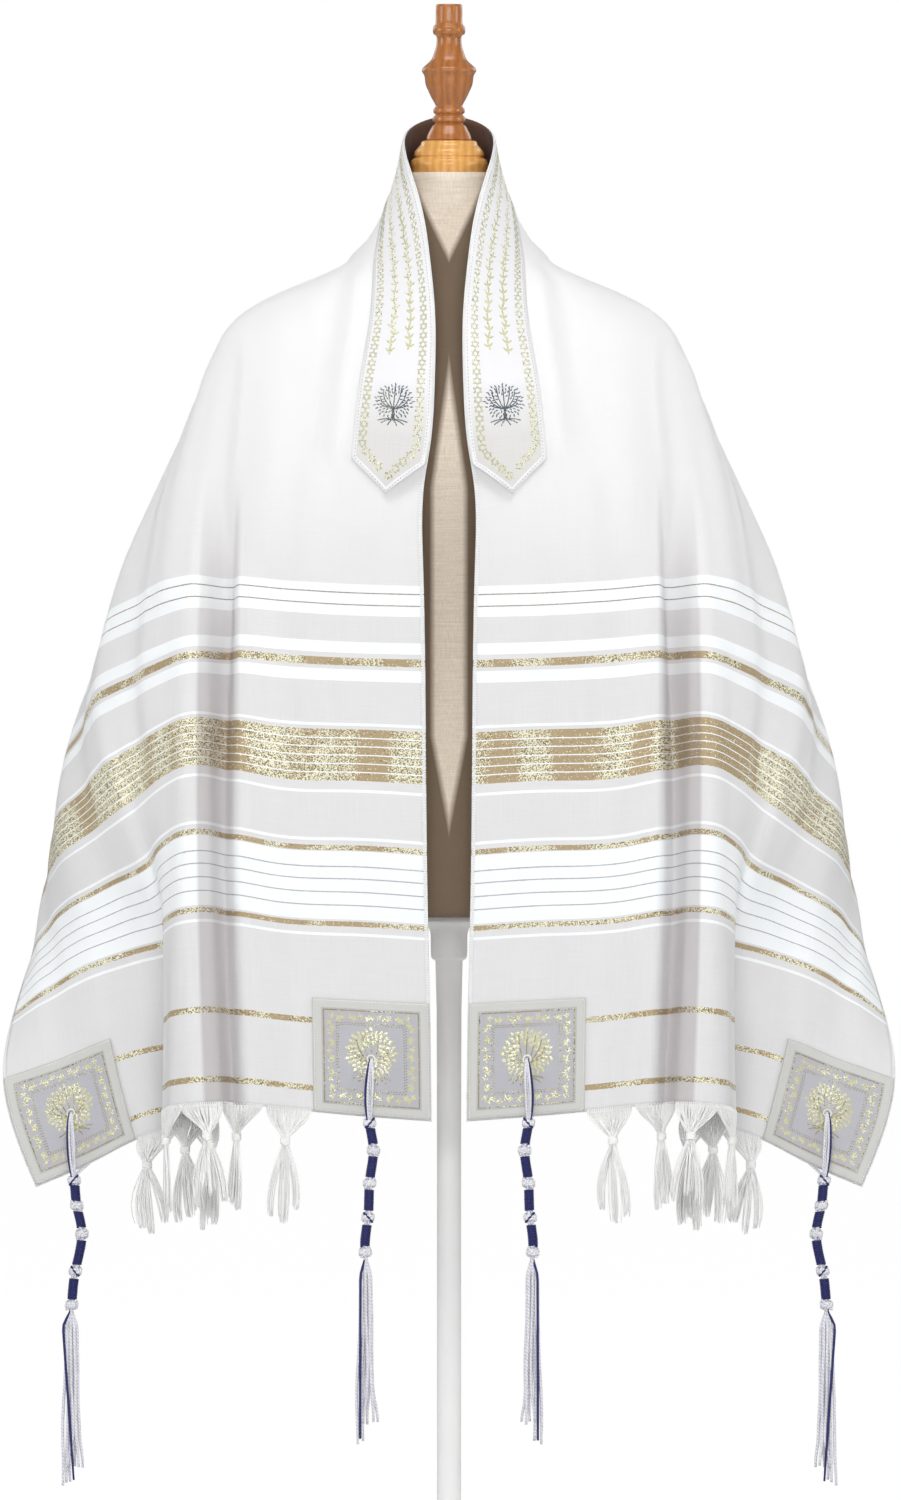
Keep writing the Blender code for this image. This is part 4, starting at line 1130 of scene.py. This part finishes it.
def make_selvedge(name, across, inward, materials):
    """Overlocked edge: slanted threads from the edge inwards, closely spaced along the run."""
    pitch = 0.0021
    run = np.arange(0.0, HALF_RUN - 0.001, pitch)
    starts = np.stack([run, np.full(len(run), across)], axis=-1)
    ends = np.stack([run + pitch * 0.8, np.full(len(run), across + inward)], axis=-1)
    strokes = both_sides(line_strokes(starts, ends, 2))
    return stroke_mesh(name, strokes, 0.0009, WALL * 0.35, 0.0007, materials["white thread"])


def make_patches(materials):
    """Four corner patches with a gold frame, a dotted square, sprigs between them and a tree."""
    pieces = []
    low = HALF_RUN - EDGE_MARGIN - PATCH_SIDE
    for side, side_name in ((-1.0, "left"), (1.0, "right")):
        for first, place_name in ((EDGE_MARGIN, "inner"), (WIDTH - PATCH_SIDE - EDGE_MARGIN, "outer")):
            rows = np.sort(side * np.linspace(low, low + PATCH_SIDE, 29))
            over = np.linspace(first, first + PATCH_SIDE, 29)
            runs, acrosses = np.meshgrid(rows, over, indexing="ij")
            label = place_name + "_" + side_name
            height = WALL / 2.0 + SEAM_GAP + SATIN_WALL / 2.0
            satin = make_sheet(
                "patch_satin_" + label, runs, acrosses, height, SATIN_WALL, materials["patch"])
            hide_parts("patch_" + label)
            pieces.append((satin, patch_ornament(label, side, low, first, materials)))
    return pieces


def square_path(low, first, inset):
    """Closed square of (run, across) corners, an inset inside a patch's edges."""
    near, far = low + inset, low + PATCH_SIDE - inset
    left, right = first + inset, first + PATCH_SIDE - inset
    return ((near, left), (near, right), (far, right), (far, left), (near, left))


def patch_ornament(label, side, low, first, materials):
    """Gold frame, a row of sprigs, a dotted square and a tree, and the seam that holds the patch."""
    flip = np.array((side, 1.0))
    base = SATIN_TOP - 0.0001
    corners = np.array(square_path(low, first, FRAME_INSET))
    frame_strokes = line_strokes(corners[:-1], corners[1:], 25)
    made = [stroke_mesh(
        "patch_frame_" + label, frame_strokes * flip, FRAME_LINE, base, 0.0004,
        materials["gold thread"])]
    dots = np.vstack([chain_places(square_path(low, first, DOT_INSET + row), DOT_PITCH)
                      for row in (-0.0009, 0.0009)])
    shift = np.array((0.0004, 0.0007))
    made.append(stroke_mesh(
        "patch_dots_" + label, line_strokes(dots - shift, dots + shift, 2) * flip, 0.0006, base, 0.0004,
        materials["gold thread"]))
    centres = chain_places(square_path(low, first, (FRAME_INSET + DOT_INSET) / 2.0 + 0.0004), 0.0056)
    turns = np.arange(len(centres)) * 2.4
    made.append(stroke_mesh(
        "patch_sprigs_" + label, sprig_strokes(centres, turns, 0.0044) * flip, LEAF_TAPER * 0.0012,
        base, 0.0004, materials["bright gold"]))
    wood, leaves = tree_parts(low + PATCH_SIDE * 0.66, first + PATCH_SIDE / 2.0, 0.043, 0.12)
    made.append(stroke_mesh(
        "patch_tree_" + label, wood * flip, 0.0008, base, 0.0005, materials["gold thread"]))
    made.append(stroke_mesh(
        "patch_leaves_" + label, leaves * flip, LEAF_TAPER * 0.0019, base, 0.0005,
        materials["bright gold"]))
    edge = chain_places(square_path(low, first, 0.0016), 0.0030)
    ahead = np.gradient(edge, axis=0)
    ahead /= np.linalg.norm(ahead, axis=1)[:, None] + 1e-9
    stitches = line_strokes(edge - ahead * 0.0010, edge + ahead * 0.0010, 2)
    made.append(stroke_mesh(
        "patch_stitches_" + label, stitches * flip, 0.00035, base, 0.0003,
        materials["white thread"]))
    return made


def hem_frame(side, across):
    """A place on the hem, the level direction along it and the level outward one."""
    run = np.full(3, side * HALF_RUN)
    places = lifted(run, np.array((across - 0.004, across, across + 0.004)), 0.0)
    along = places[2] - places[0]
    along[2] = 0.0
    along /= np.linalg.norm(along)
    return places[1], along, np.cross(along, (0.0, 0.0, 1.0))


def make_fringe(materials, random):
    """Strands gathered from the hem into a knot, then parted into three flat bunches that hang and bow;
    one piece for each knot."""
    pieces = []
    strands = FRINGE_STRANDS
    down = np.array((0.0, 0.0, -1.0))
    for side, side_name in ((-1.0, "left"), (1.0, "right")):
        for number, (across, drop) in enumerate(zip(FRINGE_ACROSS, FRINGE_DROP)):
            place, along, normal = hem_frame(side, across)
            sway = along * 0.006 * math.sin(2.3 * number + 0.7)
            knot = place + down * (FRINGE_FUNNEL + 0.004) + sway
            share = (np.arange(strands) + 0.5) / strands * 2.0 - 1.0
            gather = FRINGE_GATHER * (0.42 if number in (1, 2) else 0.5)
            starts = np.clip(across + gather * share, EDGE_MARGIN + PATCH_SIDE + 0.003,
                             WIDTH - PATCH_SIDE - 0.005)
            layer = 0.0004 * (-1.0) ** np.arange(strands)
            tops = lifted(np.full(strands, side * (HALF_RUN - 0.002)), starts, layer)
            angle = random.uniform(0.0, 2.0 * math.pi, strands)
            reach = np.sqrt(random.uniform(0.05, 1.0, strands))
            core = along * (np.cos(angle) * reach * 0.0026)[:, None]
            core = core + normal * (np.sin(angle) * reach * 0.0022)[:, None]
            gone = np.linspace(0.0, 1.0, 10)[None, :, None]
            into = smooth_rise(gone) ** 0.8
            upper = tops[:, None] * (1.0 - into) + (knot + core)[:, None] * into
            upper[..., 2:] = tops[:, None, 2:] * (1.0 - gone) + (knot + core)[:, None, 2:] * gone
            upper = upper + np.sin(gone * math.pi) * (share * 0.005)[:, None, None] * along

            bunch = np.clip(np.digitize(share, BUNCH_LIMITS) - 1.0, -1.0, 1.0)
            aside = np.array(BUNCH_ASIDE)[(bunch + 1.0).astype(int)]
            aside = aside * (1.0 + 0.25 * math.sin(3.1 * number + 1.0))
            reach = np.array(BUNCH_REACH)[(bunch + 1.0 + number).astype(int) % 3]
            length = drop * reach * (1.0 - 0.10 * random.uniform(0.0, 1.0, strands) ** 2)
            gone = np.linspace(0.0, 1.0, 14)[None, 1:, None]
            flat = random.normal(0.0, 0.0021, strands)[:, None, None] * np.sin(gone * 2.3) * along
            deep = (random.normal(0.0, 0.0016, strands) + 0.0020 * bunch)[:, None, None] * normal
            bow = aside[:, None, None] * 1.05 * np.sin(gone * 1.75) * along
            lean = along * 0.006 * math.sin(1.7 * number + 0.4)
            tail = (knot + core * 0.9)[:, None] + down * length[:, None, None] * gone
            tail = tail + bow + flat + deep * gone ** 0.7 + lean * gone ** 1.5
            paths = np.concatenate([upper, tail], axis=1)
            radii = np.full(paths.shape[:2], FRINGE_RADIUS)
            radii[:, -1] = FRINGE_TIP
            turn = np.linspace(0.0, 2.0 * math.pi * 1.6, 30)
            wraps = []
            for order in (-1.0, 0.0, 1.0):
                spin = turn + order * 1.4
                ring = along[None] * np.cos(spin)[:, None] * 0.0037
                ring = ring + normal[None] * np.sin(spin)[:, None] * 0.0034
                ring = ring + down[None] * (order * 0.0017 + 0.0030 * (turn / turn[-1] - 0.5))[:, None]
                wraps.append(knot + ring)
            label = side_name + "_" + str(number + 1)
            piece = make_tubes(
                "knotted_fringe_" + label,
                [(paths, radii, 4), (np.array(wraps), 0.00120, 6)], materials["silk thread"])
            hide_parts("fringe_" + label)
            pieces.append(piece)
    return pieces


def tassel_frame(side, across):
    """The eyelet's place and the level front and sideways directions there, and how far the hem
    stands in front of or behind it."""
    eyelet = (np.array([side * (HALF_RUN - EYELET_IN)]), np.array([across]))
    hem_place, _, _ = hem_frame(side, across)
    front = normals_of(cloth, *eyelet)[0] * np.array((1.0, 1.0, 0.0))
    front /= np.linalg.norm(front)
    sideways = -side * np.cross(front, (0.0, 0.0, 1.0))
    return eyelet, hem_place, front, sideways


def tassel_middle(side, place_name, below):
    """Middle line of a corner tassel's cord: it leaves the eyelet, bows over the patch, clears the hem
    and hangs straight down, swaying by the table. below is an array of distances under the eyelet."""
    eyelet, hem_place, _, sideways = tassel_frame(side, EYELET_ACROSS[place_name])
    clear = WALL / 2.0 + SEAM_GAP + SATIN_WALL + TASSEL_GAP
    half_depth = 0.0030
    start = lifted(*eyelet, clear + half_depth)[0]
    hem_front = hem_place[1] - clear - half_depth - 0.0015
    table = np.array(CORD_TABLES[place_name])
    held = np.clip(below, 0.0, table[-1, 0])
    sway = natural_spline(table[::2, 0], table[::2, 1:2], held)[:, 0]
    laid = np.clip(below / EYELET_IN, 0.0, 1.0)
    place = start + sideways * sway[:, None]
    place[:, 2] = start[2] - below
    place[:, 1] += (hem_front - start[1]) * laid - 0.003 * np.sin(math.pi * laid)
    return place


def make_tassel(side, side_name, place_name, materials, random):
    """Loop, knots, navy windings and loose ends of one corner tassel."""
    across = EYELET_ACROSS[place_name]
    eyelet, _, front, sideways = tassel_frame(side, across)
    down = np.array((0.0, 0.0, -1.0))
    knots = CORD_KNOTS[place_name]
    label = place_name + "_" + side_name
    white, navy = [], []
    below = np.linspace(-0.001, knots[0], 16)
    middle = tassel_middle(side, place_name, below)
    bow = np.sin(np.clip(below / knots[0], 0.0, 1.0) * math.pi) ** 0.7
    eye = lifted(*eyelet, SATIN_TOP + 0.0002)[0]
    for number, shift in enumerate((-0.0033, -0.0011, 0.0011, 0.0033)):
        path = middle + sideways * (shift * (0.35 + 0.65 * bow))[:, None]
        path += front * (0.0008 * (-1.0) ** number * bow)[:, None]
        lead = smooth_rise(below / 0.010)[:, None]
        path = (eye + sideways * shift * 0.25) * (1.0 - lead) + path * lead
        (navy if number == 3 else white).append((path[None], 0.00105, 6))
    loop_end = np.array((0.5 * (EYELET_IN + knots[0]) + 0.001, knots[0] + 0.001))
    loop_end = tassel_middle(side, place_name, loop_end)
    behind_run = side * np.linspace(HALF_RUN - EYELET_IN, HALF_RUN - 0.001, 12)
    for number, shift in enumerate((-0.0030, -0.0010, 0.0010, 0.0030)):
        back = lifted(behind_run, np.full(12, across + shift), -0.0022)
        path = np.vstack([eye[None] - front * 0.0015, back, loop_end + sideways * shift * 0.3])
        white.append((path[None], 0.00100, 6))
    core_below = np.linspace(knots[0] - 0.002, knots[-1] + 0.004, 90)
    core = tassel_middle(side, place_name, core_below)
    spin = core_below * 70.0
    for phase in (0.0, 2.1, 4.2):
        path = core + sideways * (np.cos(spin + phase) * 0.0018)[:, None]
        path += front * (np.sin(spin + phase) * 0.0018)[:, None]
        white.append((path[None], 0.0017, 6))
    for start, end in CORD_WINDINGS[place_name]:
        turns = (end - start) / 0.00165
        turn = np.linspace(0.0, turns * 2.0 * math.pi, int(turns * 12.0))
        line = tassel_middle(side, place_name, start + (end - start) * turn / turn[-1])
        path = line + sideways * (np.cos(turn) * 0.0040)[:, None]
        path += front * (np.sin(turn) * 0.0034)[:, None]
        navy.append((path[None], 0.00092, 6))
    for number, at in enumerate(knots):
        turn = np.linspace(0.0, 2.0 * math.pi * 1.5, 26)
        for order, tilt in enumerate((0.9, -0.9)):
            line = tassel_middle(side, place_name, np.full(len(turn), at + 0.0022 * (order - 0.5)))
            phase = turn + number * 0.9 + order * 2.4
            path = line + sideways * (np.cos(phase) * 0.0046)[:, None]
            path += front * (np.sin(phase) * 0.0040)[:, None]
            path += down * (tilt * 0.0026 * np.sin(phase))[:, None]
            white.append((path[None], 0.00205, 8))
        path = tassel_middle(side, place_name, np.linspace(at - 0.0045, at + 0.0045, 12))
        over = np.linspace(-1.0, 1.0, 12)
        path += front * 0.0052 + sideways * (0.0045 * over * (-1.0) ** number)[:, None]
        path -= front * (over ** 2 * 0.0035)[:, None]
        (navy if number in (0, 3) else white).append((path[None], 0.0012, 6))
    tail = TAIL_LENGTH[place_name]
    root = tassel_middle(side, place_name, np.array([knots[-1] + 0.002]))[0]
    share = np.linspace(0.0, 1.0, 30)
    for number in range(8):
        outer, column = divmod(number, 4)
        aside, reach, flare = TAIL_BUNCHES[outer]
        row = column - 1.5
        length = tail * (reach - 0.02 * random.uniform())
        if number == 0:
            length = tail
        sway = (aside * 0.45 + row * 0.0019) * smooth_rise(share * 7.0)
        sway += aside * 0.55 * smooth_rise((share - 0.15) * 1.6)
        swing = 0.0022 * (1.0 if outer else 0.4)
        sway += swing * np.sin(share * 5.2 + outer) * share * (1.0 - share)
        sway += row * flare * smooth_rise((share - 0.80) / 0.2)
        wave = 0.0008 * np.sin(share * random.uniform(8.0, 13.0) + random.uniform(0.0, 6.0)) * share
        sway += wave
        depth = 0.0019 * (-1.0) ** number + 0.0010 * math.sin(2.2 * number)
        if number == NAVY_END:
            first, last = NAVY_SWAY[place_name]
            sway = (first + (last - first) * share) * smooth_rise(share * 8.0)
            depth = NAVY_DEPTH
        path = root + down * (length * share)[:, None] - sideways * sway[:, None]
        path += front * (depth * smooth_rise(share * 6.0) + wave * 0.6)[:, None]
        radius = TAIL_RADIUS * (1.0 - 0.20 * smooth_rise((share - 0.85) / 0.15))
        if number == NAVY_END:
            navy.append((path[None], radius[None] * 0.8, 6))
        else:
            white.append((path[None], radius[None], 6))
    body = make_tubes("tassel_white_" + label, white, materials["tassel thread"])
    wraps = make_tubes("tassel_navy_" + label, navy, materials["navy thread"])
    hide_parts("tassel_" + label)
    turn = np.linspace(0.0, 2.0 * math.pi, 25)
    ring_run = eyelet[0][0] + 0.0036 * np.cos(turn)
    ring = lifted(ring_run, across + 0.0036 * np.sin(turn), SATIN_TOP + 0.0001)
    eyelet_ring = make_tubes(
        "eyelet_" + label, [(ring[None], 0.0008, 6)], materials["white thread"])
    return [body, wraps, eyelet_ring]


def torso_points(levels, sides):
    """Rings of a superellipse |x/a|^p + |y/b|^p = 1 whose half width and depths are splines over the
    height, with p falling to 2 at the neck."""
    table = np.array(TORSO_SECTIONS)
    sections = natural_spline(table[:, 0], table[:, 1:], levels)
    round_share = np.clip((levels - 1.43) / 0.07, 0.0, 1.0)
    power = (SECTION_POWER + (2.0 - SECTION_POWER) * round_share)[:, None]
    angle = (np.arange(sides) * 2.0 * math.pi / sides)[None, :]
    over, away = np.cos(angle), np.sin(angle)
    depth = np.where(away > 0.0, sections[:, 2:3], sections[:, 1:2])
    x = np.sign(over) * np.abs(over) ** (2.0 / power) * sections[:, :1]
    y = np.sign(away) * np.abs(away) ** (2.0 / power) * depth
    return np.stack([x, y, np.broadcast_to(levels[:, None], x.shape)], axis=-1)


def ring_faces(rings, sides):
    """Quads between neighbouring closed rings."""
    index = np.arange(rings * sides).reshape(rings, sides)
    turned = np.roll(index, -1, axis=1)
    return np.stack([index[:-1], turned[:-1], turned[1:], index[1:]], axis=-1).reshape(-1, 4)


def close_ends(rings):
    """Adds a ring shrunk to a point at each end, so the shape is closed."""
    first = np.repeat(rings[:1].mean(axis=1, keepdims=True), rings.shape[1], axis=1)
    last = np.repeat(rings[-1:].mean(axis=1, keepdims=True), rings.shape[1], axis=1)
    return np.concatenate([first, rings, last])


def merge_doubles(piece):
    """Joins points that share a place, and turns all faces outwards."""
    shape = bmesh.new()
    shape.from_mesh(piece.data)
    bmesh.ops.remove_doubles(shape, verts=shape.verts, dist=1e-6)
    bmesh.ops.recalc_face_normals(shape, faces=shape.faces)
    shape.to_mesh(piece.data)
    shape.free()
    piece.data.shade_smooth()


def make_torso(materials):
    """The torso's rings, a little narrower at the bottom edge and pressed in along the neck seam."""
    sides = 112
    levels = np.linspace(FORM_BOTTOM, FORM_TOP, 120)
    rings = torso_points(levels, sides)
    rings[0] *= np.array((0.985, 0.985, 1.0))
    seam = np.exp(-((levels - SEAM_UP) / 0.0016) ** 2)
    rings[:, :, :2] *= (1.0 - 0.008 * seam)[:, None, None]
    rings = close_ends(rings)
    piece = make_piece(
        "form_jersey", rings, ring_faces(len(rings), sides), materials["jersey"])
    merge_doubles(piece)
    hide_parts("form_torso")
    return piece


def make_turned(name, node, profile, top, sides, material, smooth=4):
    """A half profile carried round Z; its points are joined by lines cut into short steps whose corners
    are rounded by a running mean."""
    profile = np.array(profile)
    place = np.arange(len(profile), dtype=float)
    where = np.linspace(0.0, len(profile) - 1.0, (len(profile) - 1) * smooth + 1)
    line = np.stack([np.interp(where, place, axis) for axis in profile.T], axis=-1)
    padded = np.vstack([line[:1], line, line[-1:]])
    line = 0.25 * padded[:-2] + 0.5 * padded[1:-1] + 0.25 * padded[2:]
    line[0], line[-1] = profile[0], profile[-1]
    angle = np.arange(sides) * 2.0 * math.pi / sides
    rings = np.stack([
        line[:, :1] * np.cos(angle), line[:, :1] * np.sin(angle),
        np.broadcast_to(top - line[:, 1:], (len(line), sides))], axis=-1)
    rings = close_ends(rings[::-1])
    piece = make_piece(name, rings, ring_faces(len(rings), sides), material)
    merge_doubles(piece)
    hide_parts(node)
    return piece


def make_stand(materials):
    """A pole with a flange and a sleeve at its top, and the round base."""
    pole_top = FORM_BOTTOM - SEAM_GAP
    pole_bottom = BASE_TOP + SEAM_GAP
    pole_profile = (
        (POLE_RADIUS + 0.030, 0.0), (POLE_RADIUS + 0.030, 0.006), (POLE_RADIUS + 0.006, 0.010),
        (POLE_RADIUS + 0.006, 0.040), (POLE_RADIUS, 0.043), (POLE_RADIUS, pole_top - pole_bottom),
    )
    return [
        make_turned(
            "pole_tube", "stand_pole", pole_profile, pole_top, 48, materials["steel"]),
        make_turned(
            "round_base", "stand_base", BASE_PROFILE, BASE_TOP, 96, materials["steel"]),
    ]


def make_materials():
    """All materials by a short name. Metal tones are dark, body and light."""
    weave, glitter, grain = weave_group(), glitter_group(), grain_group()
    gold_tones = ((0.13, 0.12, 0.06, 1.0), (0.34, 0.31, 0.17, 1.0), (0.68, 0.66, 0.43, 1.0))
    bright_tones = ((0.30, 0.29, 0.15, 1.0), (0.62, 0.60, 0.36, 1.0), (0.94, 0.92, 0.66, 1.0))
    pale_tones = ((0.24, 0.24, 0.16, 1.0), (0.53, 0.52, 0.35, 1.0), (0.88, 0.87, 0.64, 1.0))
    dark_tones = ((0.03, 0.04, 0.05, 1.0), (0.10, 0.12, 0.15, 1.0), (0.62, 0.58, 0.42, 1.0))
    return {
        "cloth": cloth_material(weave, glitter),
        "band": satin_material(
            "neckband satin", weave, (0.91, 0.905, 0.93, 1.0), (0.70, 0.69, 0.665, 1.0),
            (0.87, 0.87, 0.875, 1.0), band_border),
        "patch": satin_material(
            "patch satin", weave, (0.47, 0.47, 0.52, 1.0), (0.47, 0.47, 0.52, 1.0),
            (0.61, 0.61, 0.585, 1.0), patch_border),
        "gold thread": metal_thread_material("gold metal thread", glitter, *gold_tones, 0.55),
        "bright gold": metal_thread_material("bright gold metal thread", glitter, *bright_tones, 0.60),
        "pale gold": metal_thread_material("pale gold metal thread", glitter, *pale_tones, 0.50),
        "dark thread": metal_thread_material("dark grey thread", glitter, *dark_tones, 0.25),
        "white thread": thread_material(
            "white sewing thread", (0.92, 0.92, 0.92, 1.0), (0.74, 0.74, 0.75, 1.0), 2500.0, 0.55),
        "grey thread": thread_material(
            "grey sewing thread", (0.62, 0.62, 0.63, 1.0), (0.40, 0.40, 0.42, 1.0), 2500.0, 0.55),
        "silk thread": thread_material(
            "white silky fringe", (0.96, 0.96, 0.955, 1.0), (0.85, 0.845, 0.835, 1.0), 1800.0, 0.40),
        "tassel thread": thread_material(
            "white tassel yarn", (0.84, 0.84, 0.88, 1.0), (0.54, 0.54, 0.61, 1.0), 1900.0, 0.55),
        "navy thread": thread_material(
            "navy tassel yarn", (0.010, 0.014, 0.150, 1.0), (0.004, 0.005, 0.060, 1.0), 1900.0, 0.55,
            0.06),
        "jersey": jersey_material(),
        "honey": wood_material(
            "honey varnished wood", grain, (0.86, 0.46, 0.13, 1.0), (0.62, 0.28, 0.06, 1.0), 0.26),
        "brown": wood_material(
            "brown varnished wood", grain, (0.49, 0.185, 0.043, 1.0), (0.31, 0.098, 0.020, 1.0), 0.26),
        "steel": steel_material(),
    }


def make_stage():
    """A wide pale floor, lit so that its far part is as bright as the wall behind."""
    mesh = bpy.data.meshes.new("studio_floor")
    size = FLOOR_HALF
    mesh.from_pydata([(-size, -size, 0.0), (size, -size, 0.0), (size, size, 0.0), (-size, size, 0.0)],
                     [], [(0, 1, 2, 3)])
    floor = bpy.data.objects.new("studio_floor", mesh)
    bpy.context.scene.collection.objects.link(floor)
    material, graph, shader = new_material("pale floor")
    seen = graph.node("LightPath").outputs["Is Camera Ray"]
    finish_material(
        graph, shader, Base_Color=(0.90, 0.90, 0.90, 1.0), Roughness=0.9,
        Emission_Color=(1.0, 1.0, 1.0, 1.0), Emission_Strength=graph.math("MULTIPLY", seen, FLOOR_GLOW))
    mesh.materials.append(material)


def add_light(name, place, size, power):
    """A white area light that faces LIGHT_AIM and isn't seen by the camera."""
    data = bpy.data.lights.new(name, "AREA")
    data.shape = "RECTANGLE"
    data.size, data.size_y = size
    data.energy = power
    light = bpy.data.objects.new(name, data)
    bpy.context.scene.collection.objects.link(light)
    light.visible_camera = False
    light.location = place
    way = np.array(LIGHT_AIM) - np.array(place)
    tilt = math.atan2(math.hypot(way[0], way[1]), -way[2])
    light.rotation_euler = (tilt, 0.0, math.atan2(way[1], way[0]) - math.pi / 2.0)
    return light


def make_studio():
    """White surroundings, the lights and a camera whose view is almost level and parallel."""
    scene = bpy.context.scene
    world = bpy.data.worlds.new("studio")
    scene.world = world
    world.use_nodes = True
    graph = Graph(world.node_tree)
    seen = graph.node("LightPath").outputs["Is Camera Ray"]
    strength = graph.spread(seen, 0.0, 1.0, WORLD_LIGHT, WORLD_SEEN)
    graph.tree.links.new(strength, world.node_tree.nodes["Background"].inputs[1])
    world.node_tree.nodes["Background"].inputs[0].default_value = (1.0, 1.0, 1.0, 1.0)
    for light in LIGHTS:
        add_light(*light)
    data = bpy.data.cameras.new("front_camera")
    data.sensor_width = SENSOR
    data.lens = SENSOR * CAMERA_DISTANCE / (IMAGE_HEIGHT_PX * METRES_A_PIXEL)
    data.clip_end = 200.0
    camera = bpy.data.objects.new("front_camera", data)
    scene.collection.objects.link(camera)
    camera.location = (CAMERA_OUT, FRONT_PLANE - CAMERA_DISTANCE, CAMERA_UP)
    camera.rotation_euler = (math.pi / 2.0, 0.0, 0.0)
    scene.camera = camera
    scene.view_settings.view_transform = "Standard"
    scene.view_settings.look = "None"


def build():
    """Every piece, then what the cloths rest on and carry, then the studio."""
    random = np.random.default_rng(7)
    materials = make_materials()
    sheet = make_cloth(materials)
    band = make_band(materials)
    band_pieces = make_band_ornament(materials)
    middle = (EDGE_MARGIN + BAND_WIDTH) / 2.0
    inset = pitch = 0.0034
    edge_path = (
        (0.0, BAND_WIDTH - inset), (BAND_CORNER - 0.001, BAND_WIDTH - inset),
        (BAND_TIP - 0.0024, middle), (BAND_CORNER - 0.001, EDGE_MARGIN + inset),
        (0.0, EDGE_MARGIN + inset))
    band_pieces.append(make_stitches(
        "neckband_stitches", edge_path, pitch, 0.0019, 0.0004, band_face,
        materials["grey thread"]))
    edges = [
        make_selvedge("selvedge_inner", 0.0005, 0.0032, materials),
        make_selvedge("selvedge_outer", WIDTH - 0.0005, -0.0026, materials),
    ]
    patches = make_patches(materials)
    fringes = make_fringe(materials, random)
    tassels = []
    for side, side_name in ((-1.0, "left"), (1.0, "right")):
        for place_name in ("inner", "outer"):
            tassels += make_tassel(side, side_name, place_name, materials, random)
    make_torso(materials)
    make_turned(
        "neck_cap_wood", "neck_cap", CAP_PROFILE, CAP_TOP, 96, materials["honey"])
    make_turned(
        "finial_wood", "finial", FINIAL_PROFILE, FINIAL_TOP, 80, materials["brown"])
    make_stand(materials)
    make_stage()
    make_studio()


build()
